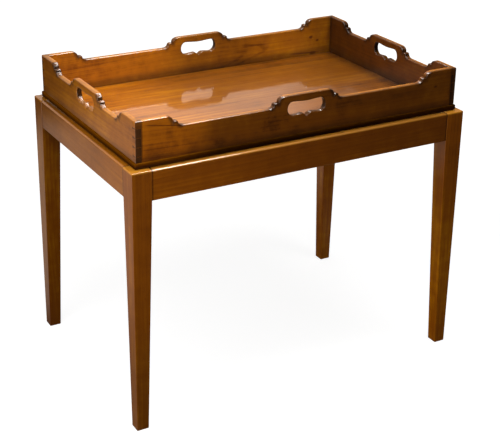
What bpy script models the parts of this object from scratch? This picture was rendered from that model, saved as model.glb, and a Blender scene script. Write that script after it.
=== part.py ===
"""Tray on stand: a loose tray with a shaped and pierced gallery, on a stand with four tapered legs.

Metres, +Z up. The origin is on the floor under the middle of the stand. +X runs along the long side, and
the front faces -Y. The tray is at rest on the stand, and lifts straight up from it.
"""

import math

import bmesh
import bpy
from mathutils import Matrix

# Stand
STAND_LENGTH = 0.800
STAND_DEPTH = 0.526
STAND_HEIGHT = 0.578
TOP_ROUND = 0.004
ARRIS = 0.001

# Legs: square at the top, tapered on the two inner faces below the aprons
LEG_TOP = 0.0425
LEG_FOOT = 0.0265
FOOT_CHAMFER = 0.001

# Aprons and their mitred tenons
APRON_HEIGHT = 0.064
APRON_THICKNESS = 0.022
APRON_SETBACK = 0.0008
TENON_THICKNESS = 0.008
TENON_TOP_SHOULDER = 0.012
TENON_LOW_SHOULDER = 0.006

# Bearers: strips inside the aprons that widen the tray's seat
BEARER_WIDTH = 0.0185
BEARER_HEIGHT = 0.020
BEARER_SCREW_INSET = 0.060

# Tray: the ledge that it leaves bare on the stand all round, and heights above its underside
LEDGE = 0.016
WALL_THICKNESS = 0.0125
WALL_HEIGHT = 0.097
RAIL_DROP = 0.022
FLOOR_THICKNESS = 0.007
WALL_SEAT_DEPTH = 0.0025
EDGE_EASE = 0.0014

# Gallery step, from the low rail up to a high top: a cavetto, a bead and a shoulder
CAVETTO_RUN = 0.011
CAVETTO_RISE = 0.0075
BEAD_RUN = 0.0115
BEAD_RISE = 0.0032
BEAD_CUT_DEGREES = 25
SHOULDER_RUN = 0.0165
SHOULDER_RISE = 0.0090
HANDLE_LENGTH = 0.177
LONG_WALL_CORNER = 0.103
SHORT_WALL_CORNER = 0.097

# Hand hole: waisted top edge, round ends, two lobes and a notch below
HOLE_LENGTH = 0.089
HOLE_HEIGHT = 0.0290
HOLE_MIDDLE = 0.0681
HOLE_TOP_SAG = 0.0021
HOLE_LOBE_RISE = 0.0017
HOLE_NOTCH_DROP = 0.0048
HOLE_LOBE_PLACE = 0.0108
HOLE_UPPER_END = 0.0110
HOLE_LOWER_END = 0.0130

# Corner joints of the gallery: through dovetails under a mitred top
MITRE_HEIGHT = 0.013
TAIL_COUNT = 4
PIN_TIP = 0.0016
HALF_PIN = 0.0022
DOVETAIL_SLOPE_SHARE = 1 / 7

# Base moulding round the foot of the gallery
MOULDING_HEIGHT = 0.0120
MOULDING_THICKNESS = 0.0028
MOULDING_LIFT = 0.0006
MOULDING_ROUND = 0.0020

# Countersunk wood screws
BEARER_SCREW_SHANK_RADIUS = 0.0020
BEARER_SCREW_HEAD_RADIUS = 0.0039
BEARER_SCREW_HEAD_HEIGHT = 0.0026
BEARER_SCREW_LENGTH = 0.030
FLOOR_SCREW_SHANK_RADIUS = 0.0016
FLOOR_SCREW_HEAD_RADIUS = 0.0032
FLOOR_SCREW_HEAD_HEIGHT = 0.0022
FLOOR_SCREW_LENGTH = 0.022
SCREW_POINT = 0.005
SCREW_SLOT_WIDTH = 0.0009
SCREW_SLOT_DEPTH = 0.0009
SCREW_SUNK = 0.0002
FLOOR_SCREW_LONG_INSET = 0.130
FLOOR_SCREW_SHORT_INSET = 0.110

CLEARANCE = 0.0003
OVERRUN = 0.004
WELD = 0.00001

# Steps of the curves, and the angle from which an edge is sharp
ROUND_STEPS = 3
CURVE_STEPS = 5
TURN_STEPS = 10
SHARP_DEGREES = 50

BEARER_SCREW = (
    BEARER_SCREW_SHANK_RADIUS,
    BEARER_SCREW_HEAD_RADIUS,
    BEARER_SCREW_HEAD_HEIGHT,
    BEARER_SCREW_LENGTH,
)
FLOOR_SCREW = (
    FLOOR_SCREW_SHANK_RADIUS,
    FLOOR_SCREW_HEAD_RADIUS,
    FLOOR_SCREW_HEAD_HEIGHT,
    FLOOR_SCREW_LENGTH,
)
TRAY_LENGTH = STAND_LENGTH - 2 * LEDGE
TRAY_DEPTH = STAND_DEPTH - 2 * LEDGE
TRAY_BASE = STAND_HEIGHT + CLEARANCE
WALL_BOTTOM = FLOOR_THICKNESS - WALL_SEAT_DEPTH + CLEARANCE
MITRE_LINE = WALL_HEIGHT - MITRE_HEIGHT
STEP_RUN = CAVETTO_RUN + BEAD_RUN + SHOULDER_RUN
APRON_BOTTOM = STAND_HEIGHT - APRON_HEIGHT
APRON_BACK = APRON_SETBACK + APRON_THICKNESS


def clear_scene():
    for item in list(bpy.data.objects):
        bpy.data.objects.remove(item, do_unlink=True)


def new_collection(name):
    made = bpy.data.collections.new(name)
    bpy.context.scene.collection.children.link(made)
    return made


def finish(name, colour, roughness, metallic=0.0):
    """One Principled material."""
    made = bpy.data.materials.new(name)
    made.use_nodes = True
    shader = made.node_tree.nodes["Principled BSDF"]
    shader.inputs["Base Color"].default_value = (*colour, 1.0)
    shader.inputs["Roughness"].default_value = roughness
    shader.inputs["Metallic"].default_value = metallic
    made.diffuse_color = (*colour, 1.0)
    return made


def taken(source):
    """The evaluated mesh of a temporary object, welded. The object is removed."""
    bpy.context.view_layer.update()
    graph = bpy.context.evaluated_depsgraph_get()
    mesh = bpy.data.meshes.new_from_object(source.evaluated_get(graph))
    mesh.name = source.name
    bpy.data.objects.remove(source, do_unlink=True)
    shape = bmesh.new()
    shape.from_mesh(mesh)
    bmesh.ops.remove_doubles(shape, verts=shape.verts, dist=WELD)
    shape.to_mesh(mesh)
    shape.free()
    return mesh


def prism(name, outlines, thickness, across="Z"):
    """Closed flat outlines, holes among them, extruded by thickness, half to each side of their plane.

    across is the direction of the thickness: outlines are (x, y) for Z, (x, z) for Y and (y, z) for X.
    """
    curve = bpy.data.curves.new(name, "CURVE")
    curve.dimensions = "2D"
    curve.fill_mode = "BOTH"
    curve.extrude = thickness / 2
    for outline in outlines:
        spline = curve.splines.new("POLY")
        spline.points.add(len(outline) - 1)
        for point, place in zip(spline.points, outline):
            point.co = (*place, 0.0, 1.0)
        spline.use_cyclic_u = True
    drawn = bpy.data.objects.new(name, curve)
    bpy.context.scene.collection.objects.link(drawn)
    mesh = taken(drawn)
    bpy.data.curves.remove(curve)
    turns = {
        "Z": Matrix.Identity(4),
        "Y": Matrix.Rotation(math.radians(90), 4, "X"),
        "X": Matrix(((0, 0, 1, 0), (1, 0, 0, 0), (0, 1, 0, 0), (0, 0, 0, 1))),
    }
    mesh.transform(turns[across])
    return mesh


def box(name, low, high):
    """A box between two corners."""
    shape = bmesh.new()
    bmesh.ops.create_cube(shape, size=1.0)
    size = [top - bottom for bottom, top in zip(low, high)]
    middle = [(top + bottom) / 2 for bottom, top in zip(low, high)]
    bmesh.ops.scale(shape, vec=size, verts=shape.verts)
    bmesh.ops.translate(shape, vec=middle, verts=shape.verts)
    mesh = bpy.data.meshes.new(name)
    shape.to_mesh(mesh)
    shape.free()
    return mesh


def bevel_where(mesh, wanted, width, steps):
    """Rounds the edges that wanted() picks by their two ends."""
    shape = bmesh.new()
    shape.from_mesh(mesh)
    edges = [edge for edge in shape.edges if wanted(edge.verts[0].co, edge.verts[1].co)]
    bmesh.ops.bevel(
        shape, geom=edges, offset=width, segments=steps, profile=0.5, affect="EDGES", clamp_overlap=True
    )
    shape.to_mesh(mesh)
    shape.free()


def turned(name, profile, steps):
    """A profile of (radius, height) points, from the top of the axis down to its foot, turned about Z."""
    mesh = bpy.data.meshes.new(name)
    points = [(radius, 0.0, height) for radius, height in profile]
    mesh.from_pydata(points, [(n, n + 1) for n in range(len(points) - 1)], [])
    drawn = bpy.data.objects.new(name, mesh)
    bpy.context.scene.collection.objects.link(drawn)
    screw = drawn.modifiers.new("turn", "SCREW")
    screw.steps = steps
    screw.render_steps = steps
    screw.use_merge_vertices = True
    screw.merge_threshold = WELD
    return taken(drawn)


def place(name, mesh, home, parent=None, location=(0, 0, 0), rotation=(0, 0, 0), material=None):
    """One named object."""
    made = bpy.data.objects.new(name, mesh)
    home.objects.link(made)
    made.parent = parent
    made.location = location
    made.rotation_euler = rotation
    if material is not None:
        made.data.materials.clear()
        made.data.materials.append(material)
        shade(made.data)
    return made


def shade(mesh):
    """Smooth, with sharp edges where faces meet at more than SHARP_DEGREES."""
    mesh.shade_smooth()
    mesh.set_sharp_from_angle(angle=math.radians(SHARP_DEGREES))


def settle(piece):
    """Applies the cuts of a piece, so that the new edges are shaded too."""
    graph = bpy.context.evaluated_depsgraph_get()
    mesh = bpy.data.meshes.new_from_object(piece.evaluated_get(graph))
    mesh.name = piece.name
    piece.modifiers.clear()
    piece.data = mesh
    shade(mesh)


def place_cutter(name, mesh, parent=None, location=(0, 0, 0), rotation=(0, 0, 0)):
    made = place(name, mesh, CUTTERS, parent, location, rotation)
    made.hide_render = True
    made.display_type = "WIRE"
    return made


def carve(target, tool, operation="DIFFERENCE"):
    step = target.modifiers.new(tool.name, "BOOLEAN")
    step.operation = operation
    step.solver = "EXACT"
    step.object = tool


def frame_empty(name, location, turn_degrees, parent=None):
    """An empty that carries one side or one corner, with +Y of its own pointing inwards."""
    made = bpy.data.objects.new(name, None)
    CUTTERS.objects.link(made)
    made.parent = parent
    made.location = location
    made.rotation_euler = (0, 0, math.radians(turn_degrees))
    made.hide_render = True
    return made


def sides(length, depth):
    """Name, length, outer face's middle and turn of each of the four sides of a rectangle."""
    return (
        ("front", length, (0, -depth / 2, 0), 0),
        ("right", depth, (length / 2, 0, 0), 90),
        ("back", length, (0, depth / 2, 0), 180),
        ("left", depth, (-length / 2, 0, 0), 270),
    )


def corners(length, depth):
    return (
        ("front_left", (-length / 2, -depth / 2, 0), 0),
        ("front_right", (length / 2, -depth / 2, 0), 90),
        ("back_right", (length / 2, depth / 2, 0), 180),
        ("back_left", (-length / 2, depth / 2, 0), 270),
    )


def arc(middle, radii, start_degrees, end_degrees, steps):
    """Points along an ellipse's arc, both ends included."""
    points = []
    for n in range(steps + 1):
        angle = math.radians(start_degrees + (end_degrees - start_degrees) * n / steps)
        points.append((middle[0] + radii[0] * math.cos(angle), middle[1] + radii[1] * math.sin(angle)))
    return points


# Stand


def leg_mesh():
    """A post with its outer corner on the Z axis, and its two inner faces tapered below the aprons."""
    mesh = box("leg", (0, 0, 0), (LEG_TOP, LEG_TOP, STAND_HEIGHT))
    shape = bmesh.new()
    shape.from_mesh(mesh)
    everything = shape.verts[:] + shape.edges[:] + shape.faces[:]
    bmesh.ops.bisect_plane(shape, geom=everything, plane_co=(0, 0, APRON_BOTTOM), plane_no=(0, 0, 1))
    for vert in shape.verts:
        if vert.co.z < WELD:
            vert.co.x = min(vert.co.x, LEG_FOOT)
            vert.co.y = min(vert.co.y, LEG_FOOT)
    shape.to_mesh(mesh)
    shape.free()
    bevel_where(mesh, lambda a, b: abs(a.z - b.z) > WELD, ARRIS, ROUND_STEPS - 1)
    bevel_where(mesh, lambda a, b: max(a.z, b.z) < WELD, FOOT_CHAMFER, 1)

    def on_outer_top(a, b):
        on_top = min(a.z, b.z) > STAND_HEIGHT - WELD
        near_x = max(a.x, b.x) < ARRIS + WELD
        near_y = max(a.y, b.y) < ARRIS + WELD
        return on_top and (near_x or near_y)

    bevel_where(mesh, on_outer_top, TOP_ROUND, ROUND_STEPS)
    return mesh


def tenon_start():
    """Distance from the legs' outer faces to a tenon's outer cheek."""
    return APRON_SETBACK + (APRON_THICKNESS - TENON_THICKNESS) / 2


def mortise_mesh():
    """The L-shaped room of the two tenons that meet in a leg."""
    near = tenon_start() - CLEARANCE
    far = tenon_start() + TENON_THICKNESS + CLEARANCE
    end = LEG_TOP + OVERRUN
    outline = [(near, near), (end, near), (end, far), (far, far), (far, end), (near, end)]
    height = APRON_HEIGHT - TENON_TOP_SHOULDER - TENON_LOW_SHOULDER + 2 * CLEARANCE
    mesh = prism("mortise", [outline], height)
    middle = APRON_BOTTOM + TENON_LOW_SHOULDER - CLEARANCE + height / 2
    mesh.transform(Matrix.Translation((0, 0, middle)))
    return mesh


def apron_mesh(length):
    """The board between two legs. x runs along it, y inwards from the legs' outer faces, z from the floor."""
    half = length / 2 - LEG_TOP - CLEARANCE
    mesh = box("apron", (-half, APRON_SETBACK, APRON_BOTTOM), (half, APRON_BACK, STAND_HEIGHT))

    def outer(a, b):
        return abs(a.x - b.x) > WELD and max(a.y, b.y) < APRON_SETBACK + WELD

    bevel_where(mesh, lambda a, b: outer(a, b) and a.z > APRON_BOTTOM + WELD, TOP_ROUND, ROUND_STEPS)
    bevel_where(mesh, lambda a, b: outer(a, b) and a.z < APRON_BOTTOM + WELD, ARRIS, 1)
    return mesh


def tenon_mesh(length):
    """The tenon at an apron's +X end, its end mitred to meet its neighbour's inside the leg."""
    corner = length / 2
    near = tenon_start()
    far = near + TENON_THICKNESS
    root = corner - LEG_TOP - CLEARANCE - TENON_THICKNESS
    gap = CLEARANCE / math.sqrt(2)
    outline = [(root, near), (corner - near - gap, near), (corner - far - gap, far), (root, far)]
    height = APRON_HEIGHT - TENON_TOP_SHOULDER - TENON_LOW_SHOULDER
    mesh = prism("tenon", [outline], height)
    mesh.transform(Matrix.Translation((0, 0, APRON_BOTTOM + TENON_LOW_SHOULDER + height / 2)))
    return mesh


def screw_profile(sizes, grown=0.0):
    """A countersunk screw with its head's flat at z = 0. A grown one is the hole that it goes in."""
    shank, head, head_height, length = sizes
    return [
        (0.0, grown + (OVERRUN if grown else 0.0)),
        (head + grown, grown + (OVERRUN if grown else 0.0)),
        (head + grown, 0.0),
        (shank + grown, -head_height),
        (shank + grown, SCREW_POINT - length),
        (0.0, -length - grown),
    ]


def screw_mesh(name, sizes):
    shank, head, head_height, length = sizes
    profile = screw_profile(sizes)[1:]
    profile = [(0.0, 0.0)] + profile[1:]
    body = bpy.data.objects.new(name, turned(name, profile, TURN_STEPS))
    slot = box("slot", (-head, -SCREW_SLOT_WIDTH / 2, -SCREW_SLOT_DEPTH), (head, SCREW_SLOT_WIDTH / 2, OVERRUN))
    tool = bpy.data.objects.new("slot", slot)
    for item in (body, tool):
        bpy.context.scene.collection.objects.link(item)
    carve(body, tool)
    mesh = taken(body)
    bpy.data.objects.remove(tool, do_unlink=True)
    return mesh


def bearer_mesh(length):
    """The strip inside an apron, flush with its top, between two legs."""
    half = length / 2 - LEG_TOP - CLEARANCE
    near = APRON_BACK + CLEARANCE
    low = STAND_HEIGHT - BEARER_HEIGHT
    return box("bearer", (-half, near, low), (half, near + BEARER_WIDTH, STAND_HEIGHT))


def bearer_screw_places(length):
    reach = length / 2 - LEG_TOP - BEARER_SCREW_INSET
    return (-reach, 0.0, reach) if length > STAND_DEPTH else (-reach, reach)


def build_stand():
    leg, mortise = leg_mesh(), mortise_mesh()
    for name, location, turn in corners(STAND_LENGTH, STAND_DEPTH):
        corner = frame_empty("corner_" + name, location, turn)
        post = place("leg_" + name, leg, PARTS, corner, material=STAND_WOOD)
        carve(post, place_cutter("mortise_" + name, mortise, corner))
    screw = screw_mesh("bearer_screw", BEARER_SCREW)
    hole = turned("bearer_screw_hole", screw_profile(BEARER_SCREW, CLEARANCE), TURN_STEPS)
    boards = {}
    for name, length, location, turn in sides(STAND_LENGTH, STAND_DEPTH):
        if length not in boards:
            boards[length] = (apron_mesh(length), tenon_mesh(length), bearer_mesh(length))
        apron_shape, tenon_shape, bearer_shape = boards[length]
        side = frame_empty("stand_side_" + name, location, turn)
        apron = place("apron_" + name, apron_shape, PARTS, side, material=STAND_WOOD)
        bearer = place("tray_bearer_" + name, bearer_shape, PARTS, side, material=BEARER_WOOD)
        carve(apron, place_cutter("tenon_a_" + name, tenon_shape, side), "UNION")
        other = place_cutter("tenon_b_" + name, tenon_shape, side)
        other.scale.x = -1
        carve(apron, other, "UNION")
        head = APRON_BACK + CLEARANCE + BEARER_WIDTH - SCREW_SUNK
        facing = (math.radians(-90), 0, 0)
        for number, x in enumerate(bearer_screw_places(length), 1):
            spot = (x, head, STAND_HEIGHT - BEARER_HEIGHT / 2)
            label = "bearer_screw_%s_%d" % (name, number)
            place(label, screw, PARTS, side, spot, facing, SCREW_STEEL)
            room = place_cutter("hole_for_" + label, hole, side, spot, facing)
            carve(bearer, room)
            carve(apron, room)


# Tray


def gallery_step():
    """Points from the end of a low rail (0, 0) up to the start of a high top."""
    points = arc((0, CAVETTO_RISE), (CAVETTO_RUN, CAVETTO_RISE), -90, 0, CURVE_STEPS)
    bead = (CAVETTO_RUN + BEAD_RUN / 2, CAVETTO_RISE)
    points += arc(bead, (BEAD_RUN / 2, BEAD_RISE), 180, BEAD_CUT_DEGREES, CURVE_STEPS)[1:]
    shoulder = (STEP_RUN, RAIL_DROP - SHOULDER_RISE)
    points += arc(shoulder, (SHOULDER_RUN, SHOULDER_RISE), 180, 90, CURVE_STEPS)
    return points


def gallery_outline(length, corner_run):
    """The wall's outline, centred on x, with heights above the tray's underside."""
    low = WALL_HEIGHT - RAIL_DROP
    inner_foot = HANDLE_LENGTH / 2
    outer_foot = length / 2 - corner_run
    up_to_corner = [(outer_foot + x, low + z) for x, z in gallery_step()]
    up_to_handle = [(inner_foot - x, low + z) for x, z in gallery_step()]
    right = up_to_handle[::-1] + up_to_corner + [(length / 2, WALL_HEIGHT), (length / 2, WALL_BOTTOM)]
    return right + [(-x, z) for x, z in right[::-1]]


def hole_outline():
    """The hand hole: half of it from the top's middle round to the notch, and its mirror image."""
    half = HOLE_LENGTH / 2
    top = HOLE_MIDDLE + HOLE_HEIGHT / 2
    bottom = HOLE_MIDDLE - HOLE_HEIGHT / 2
    upper_end = half - HOLE_UPPER_END
    lower_end = half - HOLE_LOWER_END
    right = []
    for n in range(1, CURVE_STEPS):
        x = upper_end * n / CURVE_STEPS
        right.append((x, top - HOLE_TOP_SAG * (1 + math.cos(math.pi * x / upper_end)) / 2))
    upper_radii = (HOLE_UPPER_END, HOLE_HEIGHT / 2)
    right += arc((upper_end, HOLE_MIDDLE), upper_radii, 90, 0, CURVE_STEPS)
    lower_radii = (HOLE_LOWER_END, HOLE_HEIGHT / 2)
    right += arc((lower_end, HOLE_MIDDLE), lower_radii, 0, -90, CURVE_STEPS)[1:]
    for n in range(CURVE_STEPS - 1, -1, -1):
        share = n / CURVE_STEPS
        x = HOLE_LOBE_PLACE + (lower_end - HOLE_LOBE_PLACE) * share
        right.append((x, bottom + HOLE_LOBE_RISE * (1 + math.cos(math.pi * share)) / 2))
    for n in range(CURVE_STEPS - 1, 0, -1):
        share = n / CURVE_STEPS
        lobe = (HOLE_LOBE_RISE + HOLE_NOTCH_DROP) * math.sin(math.pi / 2 * share)
        right.append((HOLE_LOBE_PLACE * share, bottom - HOLE_NOTCH_DROP + lobe))
    notch = [(0.0, bottom - HOLE_NOTCH_DROP)]
    crown = [(0.0, top - HOLE_TOP_SAG)]
    return crown + right + notch + [(-x, z) for x, z in right[::-1]]


def wall_mesh(length, corner_run):
    """A gallery wall, its outer face at y = 0. Its shaped top and its hand hole have eased edges."""
    outlines = [gallery_outline(length, corner_run), hole_outline()]
    mesh = prism("gallery_wall", outlines, WALL_THICKNESS, "Y")
    shape = bmesh.new()
    shape.from_mesh(mesh)
    flat = math.radians(1)
    bmesh.ops.dissolve_limit(shape, angle_limit=flat, verts=shape.verts, edges=shape.edges)
    shape.to_mesh(mesh)
    shape.free()
    low = WALL_BOTTOM + WELD

    def shaped(a, b):
        on_face = abs(a.y - b.y) < WELD and abs(abs(a.y) - WALL_THICKNESS / 2) < WELD
        upright_end = abs(a.x - b.x) < WELD and abs(a.x) > length / 2 - WELD
        return on_face and not upright_end and min(a.z, b.z) > low

    bevel_where(mesh, shaped, EDGE_EASE, 2)
    mesh.transform(Matrix.Translation((0, WALL_THICKNESS / 2, 0)))
    return mesh


def tail_edges():
    """Low and high edge of each tail at its end, where it is widest."""
    start = WALL_BOTTOM + HALF_PIN
    room = MITRE_LINE - HALF_PIN - start
    width = (room - (TAIL_COUNT - 1) * PIN_TIP) / TAIL_COUNT
    return [(start + n * (width + PIN_TIP), start + n * (width + PIN_TIP) + width) for n in range(TAIL_COUNT)]


def pin_sockets_mesh(length):
    """The comb that cuts the sockets for the pins from a tail board's +X end."""
    deep = WALL_THICKNESS + CLEARANCE
    flare = DOVETAIL_SLOPE_SHARE

    def at(distance, height):
        return (length / 2 - distance, height)

    outline = [at(-2 * OVERRUN, WALL_BOTTOM - OVERRUN), at(deep, WALL_BOTTOM - OVERRUN)]
    for low, high in tail_edges():
        outline.append(at(deep, low + CLEARANCE + flare * deep))
        outline.append(at(-OVERRUN, low + CLEARANCE - flare * OVERRUN))
        outline.append(at(-OVERRUN, high - CLEARANCE + flare * OVERRUN))
        outline.append(at(deep, high - CLEARANCE - flare * deep))
    outline += [at(deep, MITRE_LINE + CLEARANCE), at(-2 * OVERRUN, MITRE_LINE + CLEARANCE)]
    mesh = prism("pin_sockets", [outline], WALL_THICKNESS + 2 * OVERRUN, "Y")
    mesh.transform(Matrix.Translation((0, WALL_THICKNESS / 2, 0)))
    return mesh


def tail_sockets_mesh(length):
    """The wedges that cut the sockets for the tails from a pin board's +X end."""
    outlines = []
    front, back = -OVERRUN, WALL_THICKNESS + OVERRUN
    for low, high in tail_edges():
        outlines.append(
            [
                (front, low + DOVETAIL_SLOPE_SHARE * front),
                (back, low + DOVETAIL_SLOPE_SHARE * back),
                (back, high - DOVETAIL_SLOPE_SHARE * back),
                (front, high - DOVETAIL_SLOPE_SHARE * front),
            ]
        )
    depth = WALL_THICKNESS + CLEARANCE + OVERRUN
    mesh = prism("tail_sockets", outlines, depth, "X")
    mesh.transform(Matrix.Translation((length / 2 + OVERRUN - depth / 2, 0, 0)))
    return mesh


def mitre_mesh(length):
    """The wedge that mitres the top of a wall's +X end."""
    gap = CLEARANCE / math.sqrt(2)
    front, back = -OVERRUN, WALL_THICKNESS + OVERRUN

    def at(distance, depth):
        return (length / 2 - distance, depth)

    outline = [at(front + gap, front), at(back + gap, back), at(-2 * OVERRUN, back), at(-2 * OVERRUN, front)]
    height = MITRE_HEIGHT + OVERRUN
    mesh = prism("mitre", [outline], height)
    mesh.transform(Matrix.Translation((0, 0, MITRE_LINE + height / 2)))
    return mesh


def moulding_mesh(length):
    """A strip along a wall's foot with rounded outer edges and mitred ends. y is 0 at the wall's face."""
    low, high = MOULDING_LIFT, MOULDING_LIFT + MOULDING_HEIGHT
    inner = CLEARANCE
    rounding = MOULDING_ROUND
    core = MOULDING_THICKNESS - rounding
    profile = [(-inner, low)]
    profile += [(-y, z) for y, z in arc((core, low + rounding), (rounding, rounding), -90, 0, ROUND_STEPS)]
    profile += [(-y, z) for y, z in arc((core, high - rounding), (rounding, rounding), 0, 90, ROUND_STEPS)]
    profile += [(-inner, high)]
    mesh = prism("base_moulding", [profile[::-1]], length, "X")
    gap = CLEARANCE / math.sqrt(2)
    for vert in mesh.vertices:
        vert.co.x = math.copysign(length / 2 - vert.co.y - gap, vert.co.x)
    return mesh


def wall_seat_mesh():
    """The rebate round the floor's top that the walls stand in."""
    outlines = []
    for edge in (OVERRUN, -WALL_THICKNESS - CLEARANCE):
        x, y = TRAY_LENGTH / 2 + edge, TRAY_DEPTH / 2 + edge
        outlines.append([(-x, -y), (x, -y), (x, y), (-x, y)])
    height = WALL_SEAT_DEPTH + OVERRUN
    mesh = prism("wall_seat", outlines, height)
    mesh.transform(Matrix.Translation((0, 0, FLOOR_THICKNESS - WALL_SEAT_DEPTH + height / 2)))
    return mesh


def floor_screw_places(length):
    inset = FLOOR_SCREW_LONG_INSET if length > TRAY_DEPTH else FLOOR_SCREW_SHORT_INSET
    reach = length / 2 - inset
    return (-reach, 0.0, reach) if length > TRAY_DEPTH else (-reach, reach)


def build_tray():
    tray = frame_empty("tray_lift", (0, 0, TRAY_BASE), 0)
    screw = screw_mesh("floor_screw", FLOOR_SCREW)
    hole = turned("floor_screw_hole", screw_profile(FLOOR_SCREW, CLEARANCE), TURN_STEPS)
    seat = place_cutter("wall_seat", wall_seat_mesh(), tray)
    boards = []
    for name, way in (("front", -1), ("back", 1)):
        ends = sorted((way * CLEARANCE / 2, way * TRAY_DEPTH / 2))
        shape = box("floor_board", (-TRAY_LENGTH / 2, ends[0], 0), (TRAY_LENGTH / 2, ends[1], FLOOR_THICKNESS))
        boards.append(place("tray_floor_board_" + name, shape, PARTS, tray, material=FLOOR_WOOD))
        carve(boards[-1], seat)
    long_wall = wall_mesh(TRAY_LENGTH, LONG_WALL_CORNER)
    short_wall = wall_mesh(TRAY_DEPTH, SHORT_WALL_CORNER)
    for name, length, location, turn in sides(TRAY_LENGTH, TRAY_DEPTH):
        side = frame_empty("tray_side_" + name, location, turn, tray)
        is_long = length == TRAY_LENGTH
        wall = place("tray_wall_" + name, long_wall if is_long else short_wall, PARTS, side, material=WALL_WOOD)
        sockets = tail_sockets_mesh(length) if is_long else pin_sockets_mesh(length)
        for end, way in (("a", 1), ("b", -1)):
            for label, shape in (("sockets", sockets), ("mitre", mitre_mesh(length))):
                tool = place_cutter("%s_%s_%s" % (label, name, end), shape, side)
                tool.scale.x = way
                carve(wall, tool)
        place("base_moulding_" + name, moulding_mesh(length), PARTS, side, material=MOULDING_WOOD)
        facing = (math.radians(180), 0, 0)
        for number, x in enumerate(floor_screw_places(length), 1):
            spot = (x, WALL_THICKNESS / 2, SCREW_SUNK)
            label = "floor_screw_%s_%d" % (name, number)
            place(label, screw, PARTS, side, spot, facing, SCREW_BRASS)
            room = place_cutter("hole_for_" + label, hole, side, spot, facing)
            carve(wall, room)
            for board in boards:
                carve(board, room)


clear_scene()
PARTS = new_collection("tray_on_stand")
CUTTERS = new_collection("tray_on_stand_cutters")
STAND_WOOD = finish("stand_varnished_mahogany", (0.130, 0.045, 0.014), 0.30)
BEARER_WOOD = finish("bearer_plain_wood", (0.230, 0.110, 0.045), 0.65)
FLOOR_WOOD = finish("tray_floor_golden_varnish", (0.370, 0.140, 0.015), 0.22)
WALL_WOOD = finish("gallery_varnished_mahogany", (0.180, 0.065, 0.015), 0.28)
MOULDING_WOOD = finish("moulding_varnished_mahogany", (0.120, 0.045, 0.013), 0.35)
SCREW_STEEL = finish("steel_wood_screw", (0.300, 0.290, 0.280), 0.45, 1.0)
SCREW_BRASS = finish("brass_wood_screw", (0.550, 0.400, 0.170), 0.40, 1.0)
build_stand()
build_tray()
bpy.context.view_layer.update()
for cut_piece in [piece for piece in PARTS.objects if piece.modifiers]:
    settle(cut_piece)
for used in [tool for tool in CUTTERS.objects if tool.type == "MESH"]:
    bpy.data.objects.remove(used, do_unlink=True)
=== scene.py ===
"""A tray on its stand, in varnished wood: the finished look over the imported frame."""

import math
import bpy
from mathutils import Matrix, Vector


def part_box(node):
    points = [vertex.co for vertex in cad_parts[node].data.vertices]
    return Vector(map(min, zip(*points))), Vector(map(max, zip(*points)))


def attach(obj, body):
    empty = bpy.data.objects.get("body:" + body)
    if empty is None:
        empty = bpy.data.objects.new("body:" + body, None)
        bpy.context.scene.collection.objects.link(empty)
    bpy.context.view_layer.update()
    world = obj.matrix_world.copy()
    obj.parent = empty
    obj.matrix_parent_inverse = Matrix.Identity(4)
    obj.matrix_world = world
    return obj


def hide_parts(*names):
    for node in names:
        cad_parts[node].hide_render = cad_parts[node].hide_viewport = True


bl_info = {
    "name": "Tray on stand",
    "version": (1, 0, 0),
    "blender": (4, 5, 0),
    "location": "3D View > Sidebar > Tray",
    "description": "Makes the shaped gallery walls, the wood finishes and the studio of a tray on its stand",
    "category": "Object",
}

import bmesh
import bpy
import numpy as np
from bpy.props import FloatProperty, FloatVectorProperty, IntProperty, PointerProperty
from bpy.types import Operator, Panel, PropertyGroup
from mathutils import Euler, Vector

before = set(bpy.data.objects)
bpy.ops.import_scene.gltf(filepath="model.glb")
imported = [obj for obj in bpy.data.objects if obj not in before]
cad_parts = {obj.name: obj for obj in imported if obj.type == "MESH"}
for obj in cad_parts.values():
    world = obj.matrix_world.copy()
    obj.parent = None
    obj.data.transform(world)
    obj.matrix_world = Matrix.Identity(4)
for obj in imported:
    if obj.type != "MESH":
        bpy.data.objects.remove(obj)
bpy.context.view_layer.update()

SIDES = ("front", "right", "back", "left")
SHORT_SIDES = ("left", "right")
LEGS = ("front_left", "front_right", "back_right", "back_left")

# The frame's own sizes, read from its boxes.
FRONT_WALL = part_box("tray_wall_front")
LEFT_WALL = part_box("tray_wall_left")
TRAY_LENGTH = FRONT_WALL[1].x - FRONT_WALL[0].x
TRAY_DEPTH = LEFT_WALL[1].y - LEFT_WALL[0].y
WALL_THICKNESS = FRONT_WALL[1].y - FRONT_WALL[0].y
WALL_FOOT = FRONT_WALL[0].z
WALL_TOP = FRONT_WALL[1].z
FLOOR_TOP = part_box("tray_floor_board_front")[1].z
STAND_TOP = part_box("leg_front_left")[1].z

# Sizes of the shaped edge and of the joints, in metres, as the frame has them.
WALL_HEIGHT = 0.097
RAIL_DROP = 0.022
CAVETTO_RUN, CAVETTO_RISE = 0.011, 0.0075
BEAD_RUN, BEAD_RISE, BEAD_CUT = 0.0115, 0.0032, 25
SHOULDER_RUN, SHOULDER_RISE = 0.0165, 0.0090
STEP_RUN = CAVETTO_RUN + BEAD_RUN + SHOULDER_RUN
HANDLE_LENGTH = 0.177
LONG_WALL_CORNER, SHORT_WALL_CORNER = 0.103, 0.097
HOLE_LENGTH, HOLE_HEIGHT, HOLE_MIDDLE = 0.089, 0.0290, 0.0681
HOLE_TOP_SAG, HOLE_LOBE_RISE, HOLE_NOTCH_DROP, HOLE_LOBE_PLACE = 0.0021, 0.0017, 0.0048, 0.0108
HOLE_UPPER_END, HOLE_LOWER_END = 0.0110, 0.0130
MITRE_HEIGHT, TAIL_COUNT, PIN_TIP, HALF_PIN, DOVETAIL_SLOPE = 0.013, 4, 0.0016, 0.0022, 1 / 7
TRAY_BASE = WALL_TOP - WALL_HEIGHT

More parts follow.
